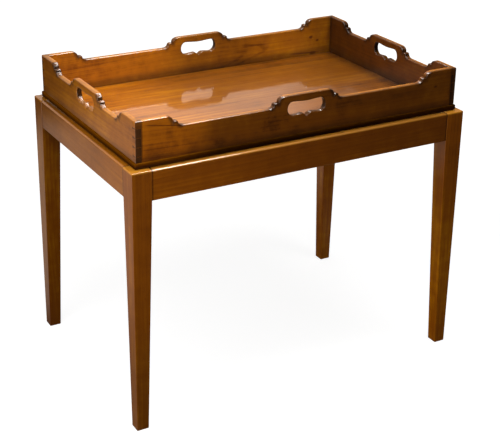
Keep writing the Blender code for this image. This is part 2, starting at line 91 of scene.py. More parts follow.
# The wall's mesh is split at a line through the hole's middle, which sinks to a lower height beside it.
SEAM_HEIGHT, SEAM_RUN = 0.045, 0.03
EDGE_ROWS = (0, 0.05, 0.19, 0.41, 0.69, 1.0, 1.4, 2.0, 2.8)  # distances from an edge, in its own radii
HOLE_EDGE_ROWS = 7  # the first of them, for the hand hole's edges

# Where dirt gathers and shade is painted: run, rise and reach of a carved step's two inner corners, then the
# part of the step round them, and the hand hole, with less darkening along its lower edge than along its upper
# one.
STEP_CORNERS = ((0.0222, 0.0090, 0.0026), (0.0108, 0.0065, 0.0018))
STEP_DIRT_AND_SHADE_FROM, STEP_DIRT_AND_SHADE_TO, STEP_DIRT_AND_SHADE_REACH, STEP_DIRT_AND_SHADE = 0.005, 0.029, 0.006, 0.8
HOLE_DIRT_AND_SHADE_REACH, HOLE_DIRT_AND_SHADE_LOW, HOLE_DIRT_AND_SHADE_MORE = 0.0024, 0.45, 0.5
HOLE_DIRT_AND_SHADE_START, HOLE_DIRT_AND_SHADE_RISE = HOLE_MIDDLE - 0.0135, 0.006
WALL_SHARP_ANGLE, STAND_SHARP_ANGLE = 42, 50


# --- Shapes of the gallery ---


def arc(middle, radii, start, end, steps):
    """Points on an ellipse: middle plus radii times cosine and sine of even angles, in degrees."""
    turn = np.radians(np.linspace(start, end, steps + 1))
    return np.column_stack([middle[0] + radii[0] * np.cos(turn), middle[1] + radii[1] * np.sin(turn)])


def stretch(start, end, steps):
    """Even points on the straight line between two points, without its ends."""
    share = np.linspace(0, 1, steps + 1)[1:-1, None]
    return np.array(start) * (1 - share) + np.array(end) * share


def gallery_step(steps):
    """The carved rise from low rail to high top: a hollow, a round bead cut off on its far side, and a
    shoulder that levels out, as three elliptical arcs one after another."""
    hollow = arc((0, CAVETTO_RISE), (CAVETTO_RUN, CAVETTO_RISE), -90, 0, steps)
    bead = arc((CAVETTO_RUN + BEAD_RUN / 2, CAVETTO_RISE), (BEAD_RUN / 2, BEAD_RISE), 180, BEAD_CUT, steps)
    rise = (STEP_RUN, RAIL_DROP - SHOULDER_RISE)
    shoulder = arc(rise, (SHOULDER_RUN, SHOULDER_RISE), 180, 90, steps)
    return np.vstack([hollow, bead[1:], stretch(bead[-1], shoulder[0], 6), shoulder])


def hole_edges(along):
    """Heights of the hand hole's upper and lower edge at each place along the wall. The upper edge sags by
    half a cosine and ends in an elliptical quarter. The lower edge has a sine notch, a cosine lobe and the
    same kind of end."""
    place = np.minimum(np.abs(along), HOLE_LENGTH / 2)
    half_high = HOLE_HEIGHT / 2
    upper_end, lower_end = HOLE_LENGTH / 2 - HOLE_UPPER_END, HOLE_LENGTH / 2 - HOLE_LOWER_END
    sag = HOLE_TOP_SAG * (1 + np.cos(np.pi * np.minimum(place / upper_end, 1))) / 2
    turn = np.sqrt(np.clip(1 - ((place - upper_end).clip(0) / HOLE_UPPER_END) ** 2, 0, 1))
    upper = HOLE_MIDDLE + (half_high - sag) * np.where(place > upper_end, turn, 1)
    turn = np.sqrt(np.clip(1 - ((place - lower_end).clip(0) / HOLE_LOWER_END) ** 2, 0, 1))
    end = HOLE_MIDDLE - half_high * turn
    bottom = HOLE_MIDDLE - half_high
    share = np.clip((place - HOLE_LOBE_PLACE) / (lower_end - HOLE_LOBE_PLACE), 0, 1)
    lobe = bottom + HOLE_LOBE_RISE * (1 + np.cos(np.pi * share)) / 2
    rise = (HOLE_LOBE_RISE + HOLE_NOTCH_DROP) * np.sin(np.pi / 2 * np.clip(place / HOLE_LOBE_PLACE, 0, 1))
    notch = bottom - HOLE_NOTCH_DROP + rise
    lower = np.where(place > lower_end, end, np.where(place > HOLE_LOBE_PLACE, lobe, notch))
    return upper, lower


def wall_columns(length, corner_run, end, steps):
    """Places along half a wall and the height of its top at each: close together where the hand hole or
    the carved steps turn, and far apart between them."""
    half_hole, foot = HOLE_LENGTH / 2, length / 2 - corner_run
    inside = half_hole - HOLE_LOWER_END * (1 - np.sin(np.linspace(0, np.pi / 2, 2 * steps + 1)))
    beside = half_hole + np.linspace(0, 1, 9)[1:] ** 2 * (HANDLE_LENGTH / 2 - STEP_RUN - half_hole) * 0.93
    middle = np.concatenate([np.linspace(0, inside[0], 26)[:-1], inside, beside])
    rise = gallery_step(steps) + (0, WALL_HEIGHT - RAIL_DROP)
    inner = rise[::-1] * (-1, 1) + (HANDLE_LENGTH / 2, 0)
    outer = rise + (foot, 0)
    rail = stretch(inner[-1], outer[0], 10)
    flat = np.column_stack([middle, np.full(len(middle), WALL_HEIGHT)])
    beyond = stretch(outer[-1], (end, WALL_HEIGHT), 5)
    half = np.vstack([flat, inner, rail, outer, beyond, [(end, WALL_HEIGHT)]])
    half = half[half[:, 0] <= end + 1e-9]
    return np.vstack([half[:0:-1] * (-1, 1), half])


def distance_to(points, line):
    """How far each point is from a line of straight pieces: the least distance to any piece."""
    start, run = line[:-1], np.diff(line, axis=0)
    keep = (run**2).sum(1) > 1e-16
    start, run = start[keep], run[keep]
    away = points[:, None, :] - start[None]
    share = np.clip((away * run).sum(2) / (run**2).sum(1), 0, 1)
    return np.sqrt(((away - share[..., None] * run) ** 2).sum(2).min(1))


def rounding(distance, radius):
    """How far a face has fallen away at a distance from its edge, as a quarter circle of that radius."""
    inside = np.clip(radius - distance, 0, radius)
    return radius - np.sqrt(radius**2 - inside**2)


def smooth(share):
    """A share from 0 to 1, eased at both ends: three times its square less twice its cube."""
    return share**2 * (3 - 2 * share)


def hole_line():
    """The hand hole's edge as a ring of points: places along the wall are half the hole's length times the
    cosine of even angles, at the upper edge's heights for half a turn and the lower edge's for the rest."""
    turn = np.linspace(0, 2 * np.pi, 241)
    along = HOLE_LENGTH / 2 * np.cos(turn)
    upper, lower = hole_edges(along)
    return np.column_stack([along, np.where(turn < np.pi, upper, lower)])


def grid_quads(rows, columns, first=0):
    """Quads between neighbours of a grid of points that is numbered row by row."""
    number = first + np.arange(rows * columns).reshape(rows, columns)
    corners = [number[:-1, :-1], number[:-1, 1:], number[1:, 1:], number[1:, :-1]]
    return np.stack(corners, axis=-1).reshape(-1, 4)


def bridge(one, other):
    """Quads between two rows of point numbers."""
    return np.stack([one[:-1], one[1:], other[1:], other[:-1]], axis=-1)


def closed_shell(points, quads):
    """Merges points in the same place, and turns the faces outwards if the volume comes out negative."""
    _, first, number = np.unique(np.round(points * 1e7), axis=0, return_index=True, return_inverse=True)
    points, quads = points[first], number.reshape(-1)[quads]
    corner = points[quads]
    volume = 0
    for b, c in ((1, 2), (2, 3)):
        volume += (corner[:, 0] * np.cross(corner[:, b], corner[:, c])).sum()
    return points, quads if volume > 0 else quads[:, ::-1]


def wall_body(length, corner_run, sizes):
    """The wall between its two joints. Half its thickness is a function of the place along the wall and
    the height: full, less what the edge's quarter circle takes off near the shaped top and the hand hole.
    The same columns run down both faces, above and below a line through the hole's middle."""
    end = length / 2 - WALL_THICKNESS - sizes.joint_line
    along, top = wall_columns(length, corner_run, end, sizes.arc_steps).T
    upper, lower = hole_edges(along)
    beside = np.clip((np.abs(along) - HOLE_LENGTH / 2) / SEAM_RUN, 0, 1)
    split = HOLE_MIDDLE - (HOLE_MIDDLE - SEAM_HEIGHT) * smooth(beside)
    pierced = np.abs(along) < HOLE_LENGTH / 2 - 1e-9
    upper, lower = np.where(pierced, upper, split), np.where(pierced, lower, split)
    away = np.array(EDGE_ROWS)[:, None]
    from_top = top - away * sizes.edge_round
    from_hole = away[:HOLE_EDGE_ROWS] * sizes.hole_round
    to_hole, under_hole = upper + from_hole[::-1], lower - from_hole
    foot = np.full(len(along), WALL_FOOT - TRAY_BASE)
    above = np.vstack([from_top, stretch(from_top[-1], to_hole[0], 5), to_hole])
    height = np.vstack([above, under_hole, stretch(under_hole[-1], foot, 5), foot])
    flat = np.column_stack([np.broadcast_to(along, height.shape).ravel(), height.ravel()])
    near_top = distance_to(flat, wall_columns(length, corner_run, length / 2, sizes.arc_steps))
    near_hole = distance_to(flat, hole_line())
    thick = WALL_THICKNESS / 2 - rounding(near_top, sizes.edge_round) - rounding(near_hole, sizes.hole_round)
    outer = np.column_stack([flat[:, 0], thick, flat[:, 1]])
    points = np.vstack([outer, outer * (1, -1, 1)])
    rows, count = height.shape
    number = np.arange(2 * rows * count).reshape(2, rows, count)
    seam = len(above)
    front, back = number
    quads = [grid_quads(seam, count), grid_quads(rows - seam, count, seam * count)]
    quads += [part[:, ::-1] + rows * count for part in quads[:2]]
    quads.append(bridge(front[0], back[0])[:, ::-1])
    quads.append(bridge(front[-1], back[-1]))
    for column, flip in ((0, 1), (-1, -1)):
        quads.append(bridge(front[:, column], back[:, column])[:, ::flip])
    open_from, open_to = np.flatnonzero(pierced)[[0, -1]] + (-1, 2)
    hole_part = slice(open_from, open_to)
    quads.append(bridge(front[seam - 1, hole_part], back[seam - 1, hole_part]))
    quads.append(bridge(front[seam, hole_part], back[seam, hole_part])[:, ::-1])
    return closed_shell(points, np.vstack(quads))


def crevice_share(points, length, corner_run):
    """How deep in a crevice each wall point lies, which darkens it as dirt and painted shade: 1 where a bead
    meets its shoulder and its hollow, less along the carved step, and round the hand hole from under a half at
    its lower edge to nearly 1 at its upper one, falling with the distance from each."""
    flat = np.column_stack([np.abs(points[:, 0]), points[:, 2]])
    low = WALL_HEIGHT - RAIL_DROP
    share = np.zeros(len(flat))
    step = gallery_step(6)
    step = step[(step[:, 0] > STEP_DIRT_AND_SHADE_FROM) & (step[:, 0] < STEP_DIRT_AND_SHADE_TO)] + (0, low)
    for start, turn in ((length / 2 - corner_run, 1), (HANDLE_LENGTH / 2, -1)):
        near = np.abs(flat[:, 0] - start - turn * STEP_RUN / 2) < 0.03
        distance = distance_to(flat[near], step * (turn, 1) + (start, 0))
        fall = np.clip(1.5 - distance / STEP_DIRT_AND_SHADE_REACH, 0, 1)
        share[near] = np.maximum(share[near], STEP_DIRT_AND_SHADE * smooth(fall))
        for run, rise, reach in STEP_CORNERS:
            distance = np.hypot(flat[:, 0] - start - turn * run, flat[:, 1] - low - rise)
            share = np.maximum(share, np.clip(1.6 - distance / reach, 0, 1))
    near = flat[:, 0] < HOLE_LENGTH / 2 + 0.004
    distance = np.ones(len(flat))
    distance[near] = distance_to(points[near][:, [0, 2]], hole_line())
    level = np.clip((points[:, 2] - HOLE_DIRT_AND_SHADE_START) / HOLE_DIRT_AND_SHADE_RISE, 0, 1)
    around = np.clip(1 - distance / HOLE_DIRT_AND_SHADE_REACH, 0, 1) * (HOLE_DIRT_AND_SHADE_LOW + HOLE_DIRT_AND_SHADE_MORE * level)
    return np.maximum(share, around)


def tail_edges():
    """Low and high edge of each tail at the outer face, where it is widest, above the tray's base."""
    start = WALL_FOOT - TRAY_BASE + HALF_PIN
    room = WALL_HEIGHT - MITRE_HEIGHT - HALF_PIN - start
    width = (room - (TAIL_COUNT - 1) * PIN_TIP) / TAIL_COUNT
    low = start + np.arange(TAIL_COUNT) * (width + PIN_TIP)
    return np.column_stack([low, low + width])


def ring_at(length, section, height):
    """A joint's section as points at a height, or at one height for each. The section's points are
    (distance in from the wall's end, distance in from its outer face)."""
    height = np.broadcast_to(height, len(section))
    return np.column_stack([length / 2 - section[:, 0], WALL_THICKNESS / 2 - section[:, 1], height])


def loft(rings):
    """A closed body through equal rings of points, one above another, with a fan over each end ring."""
    levels, count, _ = rings.shape
    around = np.concatenate([rings, rings[:, :1]], axis=1).reshape(-1, 3)
    quads = [grid_quads(levels, count + 1)]
    total = len(around)
    hubs = rings[[0, -1]].mean(1)
    points = np.vstack([around, hubs])
    for hub, level, flip in ((total, 0, 1), (total + 1, levels - 1, -1)):
        row = level * (count + 1) + np.arange(count + 1)
        quads.append(bridge(row, np.full(count + 1, hub))[:, ::flip])
    return closed_shell(points, np.vstack(quads))


def wall_joint(length, sizes, tails):
    """The tails at a tail board's end, whose slopes run along the wall, wide at the end, or the pins at a
    pin board's end, whose slopes run across the wall, narrow at the outer face. Their section is a
    rectangle with its outer corner rounded by a quarter circle."""
    gap, arris = sizes.joint_line / 2, sizes.arris_round
    deep = WALL_THICKNESS + sizes.joint_line
    corner = arc((arris, arris), (-arris, -arris), 0, 90, 6)
    section = np.vstack([[(deep, 0), (deep, WALL_THICKNESS), (0, WALL_THICKNESS)], corner])
    slope = DOVETAIL_SLOPE * section[:, 0 if tails else 1]
    if tails:
        blocks = [(low + slope + gap, high - slope - gap) for low, high in tail_edges()]
    else:
        lows = [WALL_FOOT - TRAY_BASE] + [high - slope + gap for _, high in tail_edges()]
        highs = [low + slope - gap for low, _ in tail_edges()] + [WALL_HEIGHT - MITRE_HEIGHT]
        blocks = zip(lows, highs)
    return [loft(np.array([ring_at(length, section, level) for level in ends])) for ends in blocks]


def wall_mitre(length, sizes):
    """The mitred top of a wall's end: a three-sided section with its outer corner rounded, carried up,
    whose two faces fall away by the edge's quarter circle as the height nears the top."""
    gap, radius, arris = sizes.joint_line / 2, sizes.edge_round, sizes.arris_round
    turn = np.linspace(0, np.pi / 2, 7)
    heights = np.concatenate([[WALL_HEIGHT - MITRE_HEIGHT + gap], WALL_HEIGHT - radius * (1 - np.sin(turn))])
    fall = np.concatenate([[0], radius * (1 - np.cos(turn))])
    deep = WALL_THICKNESS + 2 * gap
    rings = []
    for height, taken in zip(heights, fall):
        inner = WALL_THICKNESS - taken
        curve = arc((taken + arris, taken + arris), (-arris, -arris), 90, 45, 4)
        shape = np.vstack([[(deep, taken), (deep, inner), (inner, inner)], curve[::-1]])
        shape[2:-1, 0] += gap
        shape[-1, 0] = taken + arris
        rings.append(ring_at(length, shape, height))
    return loft(np.array(rings))


def both_ends(shells):
    """The same shells at the other end too, mirrored, with their faces turned back outwards."""
    return shells + [(points * (-1, 1, 1), quads[:, ::-1]) for points, quads in shells]


def put_on_side(points, side):
    """Local wall points (along, outwards from the middle of the thickness, height above the tray's base)
    moved to their side of the tray and turned by quarter turns about the upright axis."""
    turn = SIDES.index(side) * np.pi / 2
    half = (TRAY_LENGTH if side in SHORT_SIDES else TRAY_DEPTH) / 2
    along, out = points[:, 0], half - WALL_THICKNESS / 2 + points[:, 1]
    x = along * np.cos(turn) + out * np.sin(turn)
    y = along * np.sin(turn) - out * np.cos(turn)
    return np.column_stack([x, y, points[:, 2] + TRAY_BASE])


def mesh_from(name, shells, marks, sharp_angle):
    """One mesh from closed shells, with a named value on each point, smooth between sharp edges."""
    points = np.vstack([shell[0] for shell in shells])
    starts = np.cumsum([0] + [len(shell[0]) for shell in shells[:-1]])
    quads = np.vstack([shell[1] + start for shell, start in zip(shells, starts)])
    same = quads == np.roll(quads, -1, axis=1)
    whole = quads[~same.any(1)]
    faces = [tuple(face) for face in whole.tolist()]
    for corner in range(4):
        short = quads[same[:, corner] & (same.sum(1) == 1)]
        faces += [tuple(face) for face in np.delete(short, corner, axis=1).tolist()]
    mesh = bpy.data.meshes.new(name)
    mesh.from_pydata(points, [], faces)
    for label, values in marks.items():
        mark = mesh.attributes.new(label, "FLOAT", "POINT")
        mark.data.foreach_set("value", np.asarray(values, np.float32))
    mesh.shade_smooth()
    mesh.set_sharp_from_angle(angle=math.radians(sharp_angle))
    mesh.validate()
    return mesh


# --- Wood, varnish and metal ---


def toned(colour, share):
    """A colour made darker or lighter by one number."""
    return tuple(part * share for part in colour)


class Graph:
    """A node tree, with a short call for each kind of node that the materials are made of."""

    def __init__(self, tree):
        self.tree = tree

    def node(self, kind, inputs=(), **settings):
        """Adds a node, gives it its settings, joins or fills its inputs, and returns its outputs."""
        made = self.tree.nodes.new("ShaderNode" + kind)
        for name, value in settings.items():
            setattr(made, name, value)
        for name, value in dict(inputs).items():
            if isinstance(value, bpy.types.NodeSocket):
                self.tree.links.new(value, made.inputs[name])
            else:
                made.inputs[name].default_value = value
        return made.outputs

    def calc(self, operation, *values, clamp=False):
        """The result of a Math node."""
        return self.node("Math", dict(enumerate(values)), operation=operation, use_clamp=clamp)[0]

    def add(self, one, other, clamp=False):
        return self.calc("ADD", one, other, clamp=clamp)

    def times(self, one, other):
        return self.calc("MULTIPLY", one, other)

    def larger(self, one, other):
        return self.calc("MAXIMUM", one, other)

    def about_half(self, pattern, strength, base):
        """A pattern's difference from one half, times a strength, on top of a base."""
        return self.calc("MULTIPLY_ADD", self.calc("SUBTRACT", pattern, 0.5), strength, base)

    def vector(self, operation, *values, output=0):
        """The result of a Vector Math node: a vector, or with the output Value a number."""
        return self.node("VectorMath", dict(enumerate(values)), operation=operation)[output]

    def scaled(self, vector, scale):
        """A vector or colour with each part multiplied by its own number."""
        return self.vector("MULTIPLY", vector, scale)

    def parts(self, vector):
        """The three numbers of a vector."""
        return self.node("SeparateXYZ", {0: vector})

    def dimmed(self, colour, share):
        """A colour times one number."""
        return self.node("VectorMath", {0: colour, "Scale": share}, operation="SCALE")[0]

    def noise(self, vector, scale, detail=2.0, roughness=0.5, output=0):
        """Noise of the given scale along, across and through the grain, per metre."""
        place = self.scaled(vector, scale)
        inputs = {"Vector": place, "Scale": 1.0, "Detail": detail, "Roughness": roughness}
        return self.node("TexNoise", inputs)[output]

    def ramp(self, value, low, high, to_low=0.0, to_high=1.0):
        """A value carried smoothly from one range to another."""
        inputs = {"Value": value, "From Min": low, "From Max": high, "To Min": to_low, "To Max": to_high}
        return self.node("MapRange", inputs, interpolation_type="SMOOTHSTEP")[0]

    def blend(self, share, one, other):
        """Two colours mixed by a share."""
        return self.node("Mix", {0: share, 6: one, 7: other}, data_type="RGBA")[2]

    def bump(self, height, strength, distance):
        """A surface's direction, bent by a height."""
        return self.node("Bump", {"Height": height, "Strength": strength, "Distance": distance})[0]

    def rays(self):
        """Two shares: whether a glossy surface sees this, and whether the camera does, also through it."""
        kinds = self.node("LightPath")
        return kinds["Is Glossy Ray"], self.larger(kinds["Is Camera Ray"], kinds["Is Transmission Ray"])


def new_material(name):
    """An empty material and its graph."""
    material = bpy.data.materials.new(name)
    material.use_nodes = True
    material.node_tree.nodes.clear()
    return material, Graph(material.node_tree)


def pattern_group(name, inputs, outputs):
    """A node group with sockets listed by kind: its graph, what it is given, and what it gives to."""
    group = bpy.data.node_groups.new(name, "ShaderNodeTree")
    for way, sockets in (("INPUT", inputs), ("OUTPUT", outputs)):
        for kind, labels in sockets.items():
            for label in labels:
                group.interface.new_socket(label, in_out=way, socket_type="NodeSocket" + kind)
    given = group.nodes.new("NodeGroupInput").outputs
    return Graph(group), given, group.nodes.new("NodeGroupOutput").inputs


def wood_figure():
    """The wood's pattern as a group. The grain runs along X, and the tree's middle is the X axis: the
    growth rings are distances from it, bent by slow noise, and fibres, streaks and pores are noise drawn
    out along the grain. It gives the colour, how rough the surface is, and its height for the bump."""
    contrasts = ("Ring contrast", "Streak contrast", "Fine streaks", "Mottle", "Marks")
    shares = ("Worn share", "Rubbed share", "End share", "Grime share")
    colours = ("Pale", "Middle", "Dark", "End", "Worn")
    inputs = {"Vector": ("Vector",), "Color": colours, "Float": contrasts + shares}
    outputs = {"Color": ("Color",), "Float": ("Roughness", "Height")}
    graph, given, gives = pattern_group("wood_figure", inputs, outputs)
    vector = given["Vector"]
    bend = graph.noise(vector, (1.6, 7.0, 7.0), output="Color")
    bend = graph.scaled(graph.vector("SUBTRACT", bend, (0.5, 0.5, 0.5)), (0.0, 0.026, 0.026))
    bent = graph.vector("ADD", vector, bend)
    settings = {"wave_type": "RINGS", "rings_direction": "X", "wave_profile": "SAW"}
    rings = graph.node("TexWave", {"Vector": bent, "Scale": 34.0, "Distortion": 0.0}, **settings)["Fac"]
    late = graph.times(graph.calc("POWER", rings, 2.2), graph.ramp(rings, 1.0, 0.82))
    streaks = graph.noise(bent, (1.1, 34.0, 34.0), 3.0, 0.55)
    fibres = graph.noise(bent, (7.0, 420.0, 420.0), 2.0, 0.6)
    fine = graph.noise(bent, (1.3, 125.0, 125.0), 2.0, 0.6)
    mottle = graph.noise(bent, (34.0, 26.0, 26.0), 3.0, 0.6)
    clouds = graph.noise(vector, (3.0, 9.0, 9.0))
    patterns = (
        (streaks, given["Streak contrast"]),
        (clouds, 1.0),
        (mottle, given["Mottle"]),
        (fibres, 0.45),
        (fine, given["Fine streaks"]),
    )
    value = graph.times(late, given["Ring contrast"])
    for pattern, contrast in patterns:
        value = graph.about_half(pattern, contrast, value)
    value = graph.add(graph.add(value, given["Marks"]), 0.42, clamp=True)
    colour = graph.blend(graph.ramp(value, 0.0, 0.5), given["Pale"], given["Middle"])
    colour = graph.blend(graph.ramp(value, 0.45, 1.0), colour, given["Dark"])
    pores = graph.ramp(graph.noise(bent, (95.0, 1500.0, 1500.0), 1.0), 0.60, 0.72)
    pores = graph.times(pores, graph.ramp(streaks, 0.35, 0.6))
    colour = graph.blend(graph.times(pores, 0.55), colour, given["Dark"])
    colour = graph.blend(given["End share"], colour, given["End"])
    scuffs = graph.noise(vector, (60.0, 170.0, 170.0), 3.0, 0.6)
    worn = graph.times(given["Worn share"], graph.ramp(scuffs, 0.28, 0.56))
    # The stand's rubbed edges: wear, and a painted highlight.
    rubbed = graph.times(given["Rubbed share"], graph.ramp(scuffs, 0.1, 0.5, 0.75, 1.0))
    worn = graph.larger(worn, rubbed)
    # The worn colour paints wear, and on the stand's top edges a painted highlight.
    colour = graph.blend(worn, colour, given["Worn"])
    # Dirt, and painted shade in corners, crevices and low down, darken the colour towards near black.
    grime = graph.times(given["Grime share"], graph.ramp(clouds, 0.3, 0.6, 0.6, 1.0))
    colour = graph.blend(grime, colour, DIRT_AND_SHADE_COLOUR)
    rough = graph.add(graph.times(pores, 0.15), graph.times(scuffs, 0.16))
    rough = graph.add(rough, graph.times(worn, 0.18))
    height = graph.calc("SUBTRACT", graph.times(fibres, 0.25), graph.times(pores, 0.8))
    height = graph.add(height, graph.times(clouds, 0.5))
    for label, result in (("Color", colour), ("Roughness", rough), ("Height", height)):
        graph.tree.links.new(result, gives[label])


def edge_closeness():
    """How close a point of a box-like piece is to its edges, as a group: along each axis the closeness to
    the box's face rises from 0 to 1 over the reach, and the second largest of the three is an edge."""
    inputs = {"Vector": ("Vector", "Half size"), "Float": ("Reach",)}
    graph, given, gives = pattern_group("edge_closeness", inputs, {"Float": ("Closeness",)})
    gap = graph.vector("SUBTRACT", given["Half size"], graph.vector("ABSOLUTE", given["Vector"]))
    near = []
    for part in graph.parts(gap):
        near.append(graph.calc("SUBTRACT", 1.0, graph.calc("DIVIDE", part, given["Reach"]), clamp=True))
    pairs = [graph.calc("MINIMUM", near[a], near[b]) for a, b in ((0, 1), (1, 2), (0, 2))]
    second = graph.larger(graph.larger(pairs[0], pairs[1]), pairs[2])
    graph.tree.links.new(second, gives["Closeness"])


GRAIN_TURNS = {"X": (0, 0, 0), "Y": (0, 0, -math.pi / 2), "Z": (0, math.pi / 2, 0)}
GRAIN_AXES = {"X": (1, 0, 0), "Y": (0, 1, 0), "Z": (0, 0, 1)}
SIDE_GRAIN = dict(zip(SIDES, "XYXY"))
# Near black: dirt and dark joints, and painted shade in corners, crevices and low down.
DIRT_AND_SHADE_COLOUR = (0.012, 0.004, 0.001, 1.0)
# Boards come from places spread evenly along one tree, by the golden share of its length in metres.
GOLDEN_SHARE, TREE_LENGTH, TREE_START = 0.6180339887, 9, 0.7
# How dark a crevice is made, as dirt and painted shade, and how much varnish is left in it and on a rubbed edge.
CREVICE_DIRT_AND_SHADE, CREVICE_COAT, RUBBED_COAT = 0.9, 0.1, 0.4


def grain_place(graph, here, middle, grain, pith, tilt, seed):
    """Object coordinates turned so that the grain runs along X, with the tree's middle set off from the
    piece's own middle by pith (across, through) and leaning by tilt."""
    turn = Euler(tilt).to_matrix() @ Euler(GRAIN_TURNS[grain]).to_matrix()
    along = (seed * GOLDEN_SHARE) % 1 * TREE_LENGTH + TREE_START
    place = Vector((along, pith[0], pith[1])) - turn @ Vector(middle)
    inputs = {"Vector": here, "Location": place, "Rotation": turn.to_euler()}
    return graph.node("Mapping", inputs, vector_type="POINT")[0]


def face_place(graph, here, start, turn, size):
    """Object coordinates measured from a place on an upright board, turned about Y, divided by a size."""
    inputs = {"Vector": here, "Location": start, "Rotation": (0, turn, 0), "Scale": size}
    return graph.node("Mapping", inputs, vector_type="TEXTURE")[0]


def knot(graph, here, x, z, radius, strength):
    """A dark spot on an upright board, drawn out along the grain, with an uneven edge."""
    place = face_place(graph, here, (x, 0, z), 0, (1.7 * radius, 5, radius))
    distance = graph.vector("LENGTH", place, output="Value")
    distance = graph.about_half(graph.noise(here, (120.0, 120.0, 120.0)), 1.1, distance)
    return graph.ramp(distance, 1.0, 0.2, 0.0, strength)


def grain_line(graph, here, start, end, width, strength):
    """A thin dark line between two places (x, z) of an upright board, faded at its sides and ends."""
    run = Vector(end) - Vector(start)
    turn = -math.atan2(run.y, run.x)
    place = face_place(graph, here, (start[0], 0, start[1]), turn, (run.length, 1, width))
    parts = graph.parts(place)
    side = graph.ramp(graph.calc("ABSOLUTE", parts[2]), 1.0, 0.2, 0.0, strength)
    ends = graph.calc("ABSOLUTE", graph.calc("SUBTRACT", parts[0], 0.5))
    return graph.times(side, graph.ramp(ends, 0.5, 0.3))


def grain_arches(graph, here, apex, lean, spread, spacing, reach, strength):
    """Nested arches, as where growth rings run out of the face: with d the distance back from the apex
    and h the height above it, the lines on which d - ((h + lean d) / spread)^2 is equal."""
    place = face_place(graph, here, (apex[0], 0, apex[1]), 0, (-1, 1, 1))
    parts = graph.parts(place)
    height = graph.calc("DIVIDE", graph.calc("MULTIPLY_ADD", parts[0], lean, parts[2]), spread)
    share = graph.calc("SUBTRACT", parts[0], graph.times(height, height))
    share = graph.about_half(graph.noise(here, (14.0, 14.0, 30.0), 3.0), 0.045, share)
    lines = graph.calc("SINE", graph.times(share, 2 * math.pi / spacing))
    near = graph.times(graph.ramp(share, -0.02, 0.0), graph.ramp(parts[0], reach, reach * 0.3))
    return graph.times(near, graph.ramp(lines, -0.2, 1.0, 0.0, strength))


def board_marks(graph, here, look):
    """How much darker a board's own knots, grain lines and arches make each point."""
    total = 0.0
    for kind, mark in (("knots", knot), ("lines", grain_line), ("arches", grain_arches)):
        for sizes in look.get(kind, ()):
            total = graph.add(total, mark(graph, here, *sizes))
    return total


def dirt_and_shade_share(graph, parts, limits):
    """The largest of several shares, each of which rises to its own value between two places. Across the
    piece, places are distances from its middle plane, and heights are plain."""
    total = 0.0
    for axis, start, full, share in limits:
        place = parts[axis] if axis == 2 else graph.calc("ABSOLUTE", parts[axis])
        total = graph.larger(total, graph.ramp(place, start, full, 0.0, share))
    return total


def painted_light_share(graph, parts, painted_light_fades):
    """The product of several shares, each of which goes from one value to another between two places: painted
    light and shade.
    """
    total = 1.0
    for axis, start, stop, first, last in painted_light_fades:
        total = graph.times(total, graph.ramp(parts[axis], start, stop, first, last))
    return total


